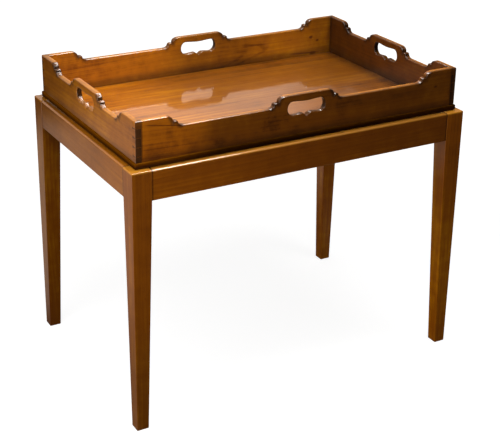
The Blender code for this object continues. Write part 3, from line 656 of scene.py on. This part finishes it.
def wood_material(name, box, grain, finish, seed, **look):
    """Varnished wood for one piece: the figure placed for its own board, worn edges, dark end grain, and a clear
    coat over it, with dirt and painted shade darkening it and fades of painted light and shade along it. A
    marked piece brings its worn, inner and crevice points as attributes."""
    material, graph = new_material(name)
    low, high = (Vector(corner) for corner in box)
    middle = (low + high) / 2
    source = graph.node("TexCoord")
    here = source["Object"]
    parts = graph.parts(here)
    pith = look.get("pith", (0.02 + 0.03 * ((seed * 0.37) % 1), 0.07 + 0.05 * ((seed * 0.73) % 1)))
    tilt = look.get("tilt", (0.0, 0.02 * math.sin(seed * 2.1), 0.015 * math.cos(seed * 1.7)))
    place = grain_place(graph, here, middle, grain, pith, tilt, seed)
    across = graph.vector("DOT_PRODUCT", source["Normal"], GRAIN_AXES[grain], output="Value")
    end = graph.ramp(graph.calc("ABSOLUTE", across), 0.55, 0.95, 0.0, look.get("end_share", 0.75))
    # Darker places from the look's list: dirt, dark joints and painted shade.
    grime = dirt_and_shade_share(graph, parts, look.get("grime", ()))
    # Fades of painted light and shade, which lighten and darken the colour along the piece.
    painted_light = painted_light_share(graph, parts, look.get("painted_light_fades", ()))
    coat = look.get("coat", 1.0)
    marked = look.get("marked", False)
    if marked:
        marks = [graph.node("Attribute", attribute_name=mark)["Fac"] for mark in ("worn", "inner", "crevice")]
        top, inner, crevice = marks
        worn = graph.times(top, graph.calc("SUBTRACT", 1.0, crevice))
        # Inner corners and the foot by the floor: dirt and painted shade.
        grime = graph.larger(grime, graph.times(inner, dirt_and_shade_share(graph, parts, look["inner_grime"])))
        # Crevices: dirt and painted shade.
        grime = graph.larger(grime, graph.times(crevice, CREVICE_DIRT_AND_SHADE))
        # Inner faces have their own fades of painted light and shade.
        inner_painted_light = painted_light_share(graph, parts, look.get("inner_painted_light_fades", ()))
        painted_light = graph.node("Mix", {0: inner, 2: painted_light, 3: inner_painted_light}, data_type="FLOAT")[0]
        coat = graph.ramp(crevice, 0.8, 1.0, coat, CREVICE_COAT)
        coat = graph.times(coat, graph.ramp(top, 0.1, 0.7, 1.0, RUBBED_COAT))
    else:
        centred = graph.vector("SUBTRACT", here, middle)
        inputs = {"Vector": centred, "Half size": (high - low) / 2, "Reach": finish.wear_reach}
        worn = graph.node("Group", inputs, node_tree=bpy.data.node_groups["edge_closeness"])[0]
    colours = {
        "Pale": look.get("pale", finish.pale_wood),
        "Middle": look.get("middle", finish.middle_wood),
        "Dark": look.get("dark", finish.dark_wood),
        "End": finish.end_wood,
        "Worn": finish.worn_and_highlight_wood,
    }
    inputs = {label: (*value[:3], 1.0) for label, value in colours.items()}
    inputs.update(
        {
            "Vector": place,
            "Ring contrast": look.get("rings", 0.14),
            "Streak contrast": look.get("streaks", 0.7),
            "Fine streaks": look.get("fine", 0.35),
            "Mottle": look.get("mottle", 0.45),
            "Marks": board_marks(graph, here, look),
            "Worn share": graph.times(worn, look.get("wear", finish.wear)),
            # The stand's rounded top edges painted paler: wear, and a painted highlight.
            "Rubbed share": graph.ramp(parts[2], *look["ledge"]) if "ledge" in look else 0.0,
            "End share": end,
            "Grime share": grime,
        }
    )
    figure = graph.node("Group", inputs, node_tree=bpy.data.node_groups["wood_figure"])
    colour = figure["Color"]
    if marked:
        # Inner faces get their own tint: partly the wood's colour, partly painted light and shade.
        tinted_and_lit = graph.scaled(colour, look.get("inner_tint_and_painted_light", (1.35, 1.3, 1.0)))
        colour = graph.blend(inner, colour, tinted_and_lit)
    inputs = {
        "Base Color": graph.dimmed(colour, painted_light),
        "Roughness": graph.add(figure["Roughness"], look.get("rough", 0.30), clamp=True),
        "Normal": graph.bump(figure["Height"], 0.35, 0.0004),
        "Coat Normal": graph.bump(graph.noise(place, (14.0, 22.0, 22.0), 1.0), 0.25, 0.0012),
        "IOR": 1.45,
        "Specular IOR Level": look.get("specular", 0.12),
        "Coat Weight": coat,
        "Coat Roughness": look.get("coat_rough", finish.varnish_roughness),
        "Coat IOR": 1.5,
    }
    graph.node("OutputMaterial", {"Surface": graph.node("BsdfPrincipled", inputs)[0]})
    return material


def metal_material(name, colour, roughness):
    """Screw metal with patches that are darker and rougher."""
    material, graph = new_material(name)
    patches = graph.noise(graph.node("TexCoord")["Object"], (260.0, 260.0, 260.0), 4.0)
    dull = (*toned(colour, 0.45), 1.0)
    inputs = {
        "Base Color": graph.blend(graph.ramp(patches, 0.35, 0.7), (*colour, 1.0), dull),
        "Roughness": graph.ramp(patches, 0.3, 0.7, roughness, roughness + 0.25),
        "Metallic": 1.0,
        "Normal": graph.bump(patches, 0.3, 0.0001),
    }
    graph.node("OutputMaterial", {"Surface": graph.node("BsdfPrincipled", inputs)[0]})
    return material


def dress(name, material):
    """Gives a frame node its material in every slot."""
    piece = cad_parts[name]
    if not piece.material_slots:
        piece.data.materials.append(material)
    for place in piece.material_slots:
        place.material = material


def dress_wood(name, grain, finish, seed, look):
    """Gives a frame node its own varnished wood."""
    dress(name, wood_material(name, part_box(name), grain, finish, seed, **look))


def smoothed_copy(name, new_name, material):
    """A copy of a stand node with its triangles merged, shaded smooth over its roundings. Each normal is
    the average of the faces round it, weighted by their areas, so the flat faces stay flat."""
    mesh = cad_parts[name].data.copy()
    mesh.name = new_name
    shape = bmesh.new()
    shape.from_mesh(mesh)
    bmesh.ops.remove_doubles(shape, verts=shape.verts, dist=1e-6)
    shape.to_mesh(mesh)
    shape.free()
    mesh.shade_smooth()
    mesh.set_sharp_from_angle(angle=math.radians(STAND_SHARP_ANGLE))
    mesh.materials.clear()
    mesh.materials.append(material)
    piece = bpy.data.objects.new(new_name, mesh)
    bpy.context.scene.collection.objects.link(piece)
    weighting = piece.modifiers.new("flat_faces", "WEIGHTED_NORMAL")
    weighting.keep_sharp = True
    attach(piece, "stand")
    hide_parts(name)


# --- What a user would change ---


class TRAY_PG_gallery(PropertyGroup):
    edge_round: FloatProperty(
        name="Edge rounding", description="Radius of the shaped top edges", default=0.0020, unit="LENGTH"
    )
    hole_round: FloatProperty(
        name="Hand hole rounding", description="Radius of the hand holes' edges", default=0.0026, unit="LENGTH"
    )
    arris_round: FloatProperty(
        name="Corner rounding", description="Radius of the tray's upright corners", default=0.0010, unit="LENGTH"
    )
    joint_line: FloatProperty(
        name="Joint line",
        description="Width of the fine lines between tails and pins",
        default=0.00012,
        unit="LENGTH",
    )
    arc_steps: IntProperty(
        name="Arc steps", description="Points on each carved arc", default=14, min=4, max=40
    )


class TRAY_PG_finish(PropertyGroup):
    pale_wood: FloatVectorProperty(
        name="Pale wood", description="Lightest wood", default=(0.46, 0.158, 0.0020), subtype="COLOR"
    )
    middle_wood: FloatVectorProperty(
        name="Middle wood", description="Main wood", default=(0.30, 0.086, 0.0012), subtype="COLOR"
    )
    dark_wood: FloatVectorProperty(
        name="Dark wood", description="Dark streaks and pores", default=(0.120, 0.028, 0.0006), subtype="COLOR"
    )
    end_wood: FloatVectorProperty(
        name="End grain", description="Wood cut across", default=(0.066, 0.022, 0.004), subtype="COLOR"
    )
    # Colour of worn edges, and of the painted highlight on the stand's rounded top edges.
    worn_and_highlight_wood: FloatVectorProperty(
        name="Worn edges", description="Wood rubbed pale", default=(0.62, 0.24, 0.015), subtype="COLOR"
    )
    bare_wood: FloatVectorProperty(
        name="Unvarnished wood",
        description="Wood of the hidden strips",
        default=(0.42, 0.26, 0.13),
        subtype="COLOR",
    )
    wear: FloatProperty(
        name="Wear", description="How much the edges are rubbed", default=0.75, subtype="FACTOR"
    )
    wear_reach: FloatProperty(
        name="Wear reach", description="How far the wear goes in from an edge", default=0.0028, unit="LENGTH"
    )
    varnish_roughness: FloatProperty(
        name="Varnish roughness",
        description="0 is a mirror",
        default=0.14,
        min=0.0,
        max=1.0,
        subtype="FACTOR",
    )


class TRAY_PG_stage(PropertyGroup):
    floor_colour: FloatVectorProperty(
        name="Floor", description="Pale studio floor", default=(0.93, 0.93, 0.92), subtype="COLOR"
    )
    key_light: FloatProperty(
        name="Key light", description="Soft light above the left end", default=10.0, unit="POWER"
    )
    side_light: FloatProperty(
        name="Side light", description="Low light at the left", default=5.0, unit="POWER"
    )
    fill_light: FloatProperty(
        name="Fill light", description="Weak light in front", default=5.4, unit="POWER"
    )
    top_light: FloatProperty(
        name="Top light", description="Soft light overhead", default=13.0, unit="POWER"
    )
    strip_light: FloatProperty(
        name="Strip light", description="Seen only as a gleam on the rounded edges", default=84.0, unit="POWER"
    )
    backdrop: FloatProperty(
        name="Backdrop", description="How strongly the pale backdrop lights", default=0.62
    )
    backdrop_gleam: FloatVectorProperty(
        name="Backdrop gleam",
        description="The backdrop as the varnish mirrors it",
        default=(1.08, 0.79, 0.62),
    )


# --- One operator for each group of pieces ---


class TRAY_OT_patterns(Operator):
    """Makes the shared patterns that the wood materials use"""

    bl_idname = "tray.patterns"
    bl_label = "Wood patterns"

    def execute(self, context):
        wood_figure()
        edge_closeness()
        return {"FINISHED"}


# What each gallery wall has of its own. Marks have places (x, z) on the board, and fades of painted light and
# shade have an axis, two places on it, and the tone at each. The inner tint is partly painted light and shade.
GALLERY_LOOKS = {
    "front": {
        "mottle": 0.9,
        "pale": (0.46, 0.138, 0.002),
        "middle": (0.30, 0.080, 0.001),
        # Painted light: lighter at the left end, darker towards the right.
        "painted_light_fades": [(0, -0.30, -0.19, 1.32, 0.48), (0, -0.05, 0.30, 1.0, 0.78)],
        "knots": [(-0.080, 0.620, 0.024, 0.35), (-0.20, 0.603, 0.012, 0.2), (0.330, 0.640, 0.004, 0.6)],
        "lines": [((-0.368, 0.6655), (-0.270, 0.6505), 0.0016, 0.6)],
    },
    "right": {
        "mottle": 0.9,
        "coat": 0.55,
        # Painted shade: the inner face darker, and darker still towards the back.
        "inner_tint_and_painted_light": (0.40, 0.35, 0.2),
        "inner_painted_light_fades": [(1, 0.0, 0.22, 0.85, 0.55)],
    },
    "back": {
        "mottle": 0.9,
        "streaks": 0.9,
        "knots": [(0.315, 0.630, 0.005, 0.8), (0.333, 0.620, 0.004, 0.7), (0.3195, 0.588, 0.007, 0.7)],
        "arches": [((0.194, 0.621), 0.11, 0.0822, 0.062, 0.20, 0.22)],
        "lines": [((0.25, 0.594), (0.345, 0.589), 0.0028, 0.5)],
        # Painted light and shade on the inner face: lighter at the left, darker in the middle and at the right
        # end.
        "inner_tint_and_painted_light": (1.16, 1.22, 0.7),
        "inner_painted_light_fades": [(0, -0.14, 0.0, 1.28, 0.66), (0, 0.10, 0.19, 1.0, 1.5), (0, 0.25, 0.36, 1.0, 0.6)],
    },
    # Painted shade: darker towards the back.
    "left": {"mottle": 0.7, "painted_light_fades": [(1, -0.10, 0.22, 1.05, 0.66)]},
}


class TRAY_OT_gallery(Operator):
    """Makes the four shaped gallery walls with their hand holes and dovetailed ends"""

    bl_idname = "tray.gallery"
    bl_label = "Gallery walls"

    def execute(self, context):
        sizes, finish = context.scene.tray_gallery, context.scene.tray_finish
        for number, side in enumerate(SIDES):
            short = side in SHORT_SIDES
            length = TRAY_DEPTH if short else TRAY_LENGTH
            corner = SHORT_WALL_CORNER if short else LONG_WALL_CORNER
            shells = [wall_body(length, corner, sizes)] + both_ends([wall_mitre(length, sizes)])
            shaped_count = sum(len(points) for points, _ in shells)
            shells += both_ends(wall_joint(length, sizes, tails=short))
            local = np.vstack([points for points, _ in shells])
            thin = WALL_THICKNESS / 2 - np.abs(local[:, 1])
            marks = {
                "worn": np.clip(thin / sizes.edge_round, 0, 1) * (np.arange(len(local)) < shaped_count),
                "inner": (local[:, 1] < 0).astype(float),
                "crevice": crevice_share(local, length, corner),
            }
            placed = [(put_on_side(points, side), quads) for points, quads in shells]
            name = f"gallery_wall_{side}"
            mesh = mesh_from(name, placed, marks, WALL_SHARP_ANGLE)
            wall = bpy.data.objects.new(name, mesh)
            context.scene.collection.objects.link(wall)
            half = length / 2 - WALL_THICKNESS
            axis = 1 if short else 0
            look = {"marked": True, "wear": 0.55, "end_share": 1.0 if short else 0.35, "coat_rough": 0.17}
            # Dirt and painted shade: the inner faces darker in the corners and by the floor, the outer faces
            # towards the foot.
            foot = (2, FLOOR_TOP + 0.005, FLOOR_TOP + 0.001, 0.7)
            look["inner_grime"] = [(axis, half - 0.014, half, 0.5), foot]
            look["grime"] = [(2, TRAY_BASE + 0.032, TRAY_BASE + 0.012, 0.6)]
            # The long walls are darker over the pins at their ends, as a dark joint.
            if not short:
                look["grime"].append((axis, half - 0.005, half - 0.0005, 0.72))
            look.update(GALLERY_LOOKS[side])
            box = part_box(f"tray_wall_{side}")
            mesh.materials.append(wood_material(name, box, SIDE_GRAIN[side], finish, 11 + number, **look))
            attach(wall, "tray")
            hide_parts(f"tray_wall_{side}")
        return {"FINISHED"}


class TRAY_OT_tray_floor(Operator):
    """Finishes the tray's two floor boards, polished and pale with long grain"""

    bl_idname = "tray.tray_floor"
    bl_label = "Tray floor"

    def execute(self, context):
        finish = context.scene.tray_finish
        reach = (TRAY_LENGTH / 2 - WALL_THICKNESS, TRAY_DEPTH / 2 - WALL_THICKNESS)
        look = {
            "pale": toned(finish.pale_wood, 1.25),
            "middle": toned(finish.middle_wood, 1.35),
            "rings": 0.16,
            "fine": 1.0,
            "rough": 0.25,
            "wear": 0.0,
            "tilt": (0.0, 0.03, 0.01),
            "coat_rough": 0.06,
            # Painted light and shade: lighter at the left, darker to the right and by the right wall; the edges
            # by the walls darker as dirt and painted shade.
            "painted_light_fades": [(0, -0.27, 0.0, 1.4, 0.84), (0, 0.05, 0.38, 1.0, 0.72), (0, 0.33, 0.368, 1.0, 0.55)],
            "grime": [(axis, reach[axis] - 0.006, reach[axis], 0.6) for axis in (0, 1)],
        }
        for number, side in enumerate(("front", "back")):
            look["pith"] = (0.03 * (1 - 2 * number), 0.16)
            dress_wood(f"tray_floor_board_{side}", "X", finish, 31 + number, look)
        return {"FINISHED"}


class TRAY_OT_mouldings(Operator):
    """Finishes the thin mouldings round the tray's foot"""

    bl_idname = "tray.mouldings"
    bl_label = "Base mouldings"

    def execute(self, context):
        finish = context.scene.tray_finish
        for number, side in enumerate(SIDES):
            # Painted shade: the mouldings lie in shadow, so their wood is made dark, the left one less so.
            shade = 0.35 if side == "left" else 0.13
            dark = toned(finish.middle_wood, shade)
            look = {"pale": dark, "middle": dark, "end_share": 0.0, "wear": 0.05}
            look.update(coat=0.0, rough=0.6, specular=0.0)
            # Darkest at the bottom: a painted shadow.
            look["grime"] = [(2, TRAY_BASE + 0.010, TRAY_BASE + 0.005, 0.9)]
            # Painted light: the front moulding lighter at its left end.
            if side == "front":
                look["painted_light_fades"] = [(0, -0.34, -0.18, 2.6, 0.7)]
            dress_wood(f"base_moulding_{side}", SIDE_GRAIN[side], finish, 41 + number, look)
        return {"FINISHED"}


# Where the stand's rounded top edges are painted paler, as wear and a painted highlight, from which height to
# which, and each leg's painted shade, whole and at its foot.
LEDGE_WEAR_AND_HIGHLIGHT = (STAND_TOP - 0.0045, STAND_TOP - 0.002, 0.0)
LEDGE_WEAR_AND_HIGHLIGHT_SHARE = 0.9
LEG_PAINTED_SHADES = {"front_left": 0.92, "front_right": 0.98, "back_right": 1.22, "back_left": 0.58}
LEG_FOOT_PAINTED_SHADES = {"front_left": 0.78, "front_right": 1.3, "back_right": 1.0, "back_left": 1.0}
LEG_MIDDLE_WOOD = (0.27, 0.070, 0.0012)


class TRAY_OT_legs(Operator):
    """Finishes the four tapered legs, their grain upright"""

    bl_idname = "tray.legs"
    bl_label = "Legs"

    def execute(self, context):
        finish = context.scene.tray_finish
        for number, place in enumerate(LEGS):
            name, shade = f"leg_{place}", LEG_PAINTED_SHADES[place]
            look = {
                "wear": 0.1,
                "coat_rough": 0.13,
                # The rounded top painted paler: wear, and a painted highlight, less on the back left leg.
                "ledge": (*LEDGE_WEAR_AND_HIGHLIGHT, 0.4 if place == "back_left" else LEDGE_WEAR_AND_HIGHLIGHT_SHARE),
                # Each leg's wood is toned by its own painted shade.
                "middle": toned(LEG_MIDDLE_WOOD, shade),
                "pale": toned(finish.pale_wood, shade),
                # Painted shade at the foot: the front left foot darker, the front right one lighter.
                "painted_light_fades": [(2, 0.08, 0.36, LEG_FOOT_PAINTED_SHADES[place], 1.0)],
            }
            material = wood_material(name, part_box(name), "Z", finish, 51 + number, **look)
            smoothed_copy(name, f"stand_leg_{place}", material)
        return {"FINISHED"}


class TRAY_OT_aprons(Operator):
    """Finishes the four aprons between the legs"""

    bl_idname = "tray.aprons"
    bl_label = "Aprons"

    def execute(self, context):
        finish = context.scene.tray_finish
        for number, side in enumerate(SIDES):
            name, grain = f"apron_{side}", SIDE_GRAIN[side]
            axis = "XY".index(grain)
            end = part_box(f"tray_bearer_{side}")[1][axis]
            # Dark at the ends by the legs: a dark joint line with painted shade.
            look = {"wear": 0.1, "coat_rough": 0.13, "grime": [(axis, end - 0.0040, end - 0.0010, 0.9)]}
            # The rounded top edge painted paler: wear, and a painted highlight, less on the left apron.
            look["ledge"] = (*LEDGE_WEAR_AND_HIGHLIGHT, 0.2 if side == "left" else LEDGE_WEAR_AND_HIGHLIGHT_SHARE)
            if side == "front":
                look.update(pale=(0.46, 0.128, 0.002), middle=(0.30, 0.074, 0.001))
                # Painted light: the front apron darker towards the right.
                look["painted_light_fades"] = [(0, -0.30, 0.20, 0.75, 0.52)]
            elif side == "left":
                # Painted shade: the left apron darker towards the back.
                look["painted_light_fades"] = [(1, -0.17, -0.07, 1.0, 0.86), (1, 0.06, 0.18, 1.0, 0.72)]
            material = wood_material(name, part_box(name), grain, finish, 61 + number, **look)
            smoothed_copy(name, f"stand_apron_{side}", material)
        return {"FINISHED"}


class TRAY_OT_bearers(Operator):
    """Finishes the hidden strips that carry the tray, in unvarnished wood"""

    bl_idname = "tray.bearers"
    bl_label = "Tray bearers"

    def execute(self, context):
        finish = context.scene.tray_finish
        bare = finish.bare_wood
        look = {"pale": toned(bare, 1.2), "middle": bare, "dark": toned(bare, 0.55)}
        look.update(coat=0.0, rough=0.55, wear=0.0)
        for number, side in enumerate(SIDES):
            dress_wood(f"tray_bearer_{side}", SIDE_GRAIN[side], finish, 71 + number, look)
        return {"FINISHED"}


class TRAY_OT_screws(Operator):
    """Finishes the hidden screws, steel in the bearers and brass in the tray's floor"""

    bl_idname = "tray.screws"
    bl_label = "Screws"

    def execute(self, context):
        steel = metal_material("screw_steel", (0.42, 0.41, 0.40), 0.32)
        brass = metal_material("screw_brass", (0.62, 0.44, 0.17), 0.28)
        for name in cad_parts:
            if name.startswith("bearer_screw"):
                dress(name, steel)
            elif name.startswith("floor_screw"):
                dress(name, brass)
        return {"FINISHED"}


def area_light(name, place, target, size, power, use):
    """A soft rectangular light that faces a point. It can light surfaces, or only gleam in them, or both."""
    lamp = bpy.data.lights.new(name, "AREA")
    lamp.shape = "RECTANGLE"
    lamp.size, lamp.size_y = size
    lamp.energy = power
    light = bpy.data.objects.new(name, lamp)
    light.location = place
    light.rotation_euler = (Vector(place) - Vector(target)).to_track_quat("Z", "Y").to_euler()
    light.visible_camera = False
    light.visible_diffuse = use != "gleam"
    light.visible_glossy = use != "surface"
    bpy.context.scene.collection.objects.link(light)


FLOOR_SEEN, FLOOR_GLEAM = 0.38, 0.66  # what the camera sees of its shade, and what the varnish mirrors of it


def floor_material(colour, gleam):
    """The pale floor. The camera sees it near white with the object's shadow on it. The varnish mirrors it, and
    it throws light back, as paper painted with light: bright behind the object and at its left, dark in front of
    it, and darker still in a painted shadow under the table."""
    material, graph = new_material("studio_floor")
    place = graph.node("TexCoord")["Object"]
    parts = graph.parts(place)
    # Painted light on the paper: bright behind the object and at its left, dim in front.
    behind = graph.ramp(parts["Y"], -0.3, 0.6, 0.04, 0.60)
    behind = graph.larger(behind, graph.ramp(parts["X"], -0.36, -0.42, 0.0, 0.25))
    behind = graph.times(behind, graph.ramp(parts["Y"], 1.40, 1.80, 1.0, 0.0))
    # A painted shadow under the table.
    below = graph.scaled(graph.vector("SUBTRACT", place, (0.0, 0.1, 0.0)), (1 / 0.40, 1 / 0.50, 0.0))
    below = graph.vector("LENGTH", below, output="Value")
    behind = graph.times(behind, graph.ramp(below, 0.95, 1.3, 0.1, 1.0))
    glow = graph.ramp(graph.vector("LENGTH", place, output="Value"), 0.8, 2.0, 0.86, 1.05)
    white = graph.node("Emission", {"Color": (1, 1, 1, 1), "Strength": glow})[0]
    shaded = graph.node("BsdfDiffuse", {"Color": (*toned(colour, FLOOR_SEEN), 1.0)})[0]
    seen = graph.node("AddShader", {0: white, 1: shaded})[0]
    paper = graph.node("BsdfDiffuse", {"Color": graph.blend(behind, (0, 0, 0, 1), (*colour, 1.0))})[0]
    # The varnish mirrors the same painted light.
    strength = graph.times(behind, FLOOR_GLEAM)
    mirrored = graph.node("Emission", {"Color": (*gleam, 1.0), "Strength": strength})[0]
    glossy, direct = graph.rays()
    mixed = graph.node("MixShader", {0: glossy, 1: paper, 2: mirrored})[0]
    mixed = graph.node("MixShader", {0: direct, 1: mixed, 2: seen})[0]
    graph.node("OutputMaterial", {"Surface": mixed})
    return material


def studio_world(backdrop, gleam):
    """White where the camera looks past the object. The varnish mirrors a pale, warm backdrop behind the
    object and a dim room in front of it, and the same places light the object plainly."""
    world = bpy.data.worlds.new("studio")
    world.use_nodes = True
    world.node_tree.nodes.clear()
    graph = Graph(world.node_tree)
    parts = graph.parts(graph.node("TexCoord")["Generated"])
    strength = graph.ramp(parts["Y"], -0.15, 0.55, 0.065, 1.0)
    strength = graph.times(strength, graph.ramp(parts["Z"], 0.35, 0.85, 1.0, 0.45))
    strength = graph.times(strength, graph.ramp(parts["X"], 0.485, 0.54, 1.0, 0.25))
    glossy, direct = graph.rays()
    colour = graph.blend(glossy, (backdrop, backdrop, backdrop, 1.0), (*gleam, 1.0))
    colour = graph.blend(direct, graph.dimmed(colour, strength), (1, 1, 1, 1))
    shade = graph.node("Background", {"Color": colour, "Strength": 1.0})[0]
    graph.node("OutputWorld", {"Surface": shade})
    return world


CAMERA_PLACE = (-1.26695, -2.21525, 1.4543)
CAMERA_TURN = (-29.985, 22.28, 0.98)
CAMERA_LENS = 87.13
CAMERA_SHIFT = -0.10


def aim_camera(scene):
    """The camera at the photograph's angle: its heading, its look down and its small roll, in degrees."""
    heading, down, roll = (math.radians(angle) for angle in CAMERA_TURN)
    data = bpy.data.cameras.new("camera")
    data.sensor_width = 36
    data.lens = CAMERA_LENS
    data.shift_y = CAMERA_SHIFT
    data.clip_end = 50
    camera = bpy.data.objects.new("camera", data)
    camera.location = CAMERA_PLACE
    turn = Euler((math.pi / 2 - down, 0, heading)).to_matrix() @ Euler((0, 0, roll)).to_matrix()
    camera.rotation_euler = turn.to_euler()
    scene.collection.objects.link(camera)
    scene.camera = camera


FLOOR_HALF, FLOOR_SUNK = 7.0, 0.0005

# Each light's place, the point that it faces, its size, and its use.
LIGHTS = {
    "key_light": ((-0.75, -0.35, 1.50), (-0.2, 0.05, 0.58), (0.9, 0.9), "both"),
    "side_light": ((-1.30, -0.35, 0.45), (-0.4, -0.1, 0.45), (0.9, 0.7), "both"),
    "fill_light": ((-0.45, -1.50, 0.85), (-0.1, -0.2, 0.40), (0.6, 0.6), "both"),
    "top_light": ((0.40, -0.35, 1.85), (-0.1, -0.2, 0.58), (0.5, 0.9), "surface"),
    "strip_light": ((0.28, -0.20, 1.85), (0.28, -0.20, 0), (0.36, 2.6), "gleam"),
}


class TRAY_OT_stage(Operator):
    """Makes the pale floor, the backdrop, the soft lights and the camera"""

    bl_idname = "tray.stage"
    bl_label = "Studio"

    def execute(self, context):
        scene, settings = context.scene, context.scene.tray_stage
        turns = ((-1, -1), (1, -1), (1, 1), (-1, 1))
        corners = [(x * FLOOR_HALF, y * FLOOR_HALF, -FLOOR_SUNK) for x, y in turns]
        mesh = bpy.data.meshes.new("studio_floor")
        mesh.from_pydata(corners, [], [(0, 1, 2, 3)])
        mesh.materials.append(floor_material(tuple(settings.floor_colour), settings.backdrop_gleam))
        floor = bpy.data.objects.new("studio_floor", mesh)
        scene.collection.objects.link(floor)
        for name, (place, target, size, use) in LIGHTS.items():
            area_light(name, place, target, size, getattr(settings, name), use)
        scene.world = studio_world(settings.backdrop, settings.backdrop_gleam)
        scene.view_settings.view_transform = "Standard"
        aim_camera(scene)
        return {"FINISHED"}


class TRAY_PT_parts(Panel):
    """Lists the pieces in the sidebar"""

    bl_label = "Tray on stand"
    bl_idname = "TRAY_PT_parts"
    bl_space_type = "VIEW_3D"
    bl_region_type = "UI"
    bl_category = "Tray"

    def draw(self, context):
        scene = context.scene
        for settings in (scene.tray_gallery, scene.tray_finish, scene.tray_stage):
            box = self.layout.box()
            for name in settings.__annotations__:
                box.prop(settings, name)
        for operator in PIECES:
            self.layout.operator(operator.bl_idname)


PIECES = (
    TRAY_OT_patterns,
    TRAY_OT_gallery,
    TRAY_OT_tray_floor,
    TRAY_OT_mouldings,
    TRAY_OT_legs,
    TRAY_OT_aprons,
    TRAY_OT_bearers,
    TRAY_OT_screws,
    TRAY_OT_stage,
)
CLASSES = (TRAY_PG_gallery, TRAY_PG_finish, TRAY_PG_stage, *PIECES, TRAY_PT_parts)


def register():
    for item in CLASSES:
        bpy.utils.register_class(item)
    bpy.types.Scene.tray_gallery = PointerProperty(type=TRAY_PG_gallery)
    bpy.types.Scene.tray_finish = PointerProperty(type=TRAY_PG_finish)
    bpy.types.Scene.tray_stage = PointerProperty(type=TRAY_PG_stage)


def unregister():
    del bpy.types.Scene.tray_stage, bpy.types.Scene.tray_finish, bpy.types.Scene.tray_gallery
    for item in reversed(CLASSES):
        bpy.utils.unregister_class(item)


def main():
    register()
    bpy.ops.tray.patterns()
    bpy.ops.tray.gallery()
    bpy.ops.tray.tray_floor()
    bpy.ops.tray.mouldings()
    bpy.ops.tray.legs()
    bpy.ops.tray.aprons()
    bpy.ops.tray.bearers()
    bpy.ops.tray.screws()
    bpy.ops.tray.stage()


if __name__ == "__main__":
    main()
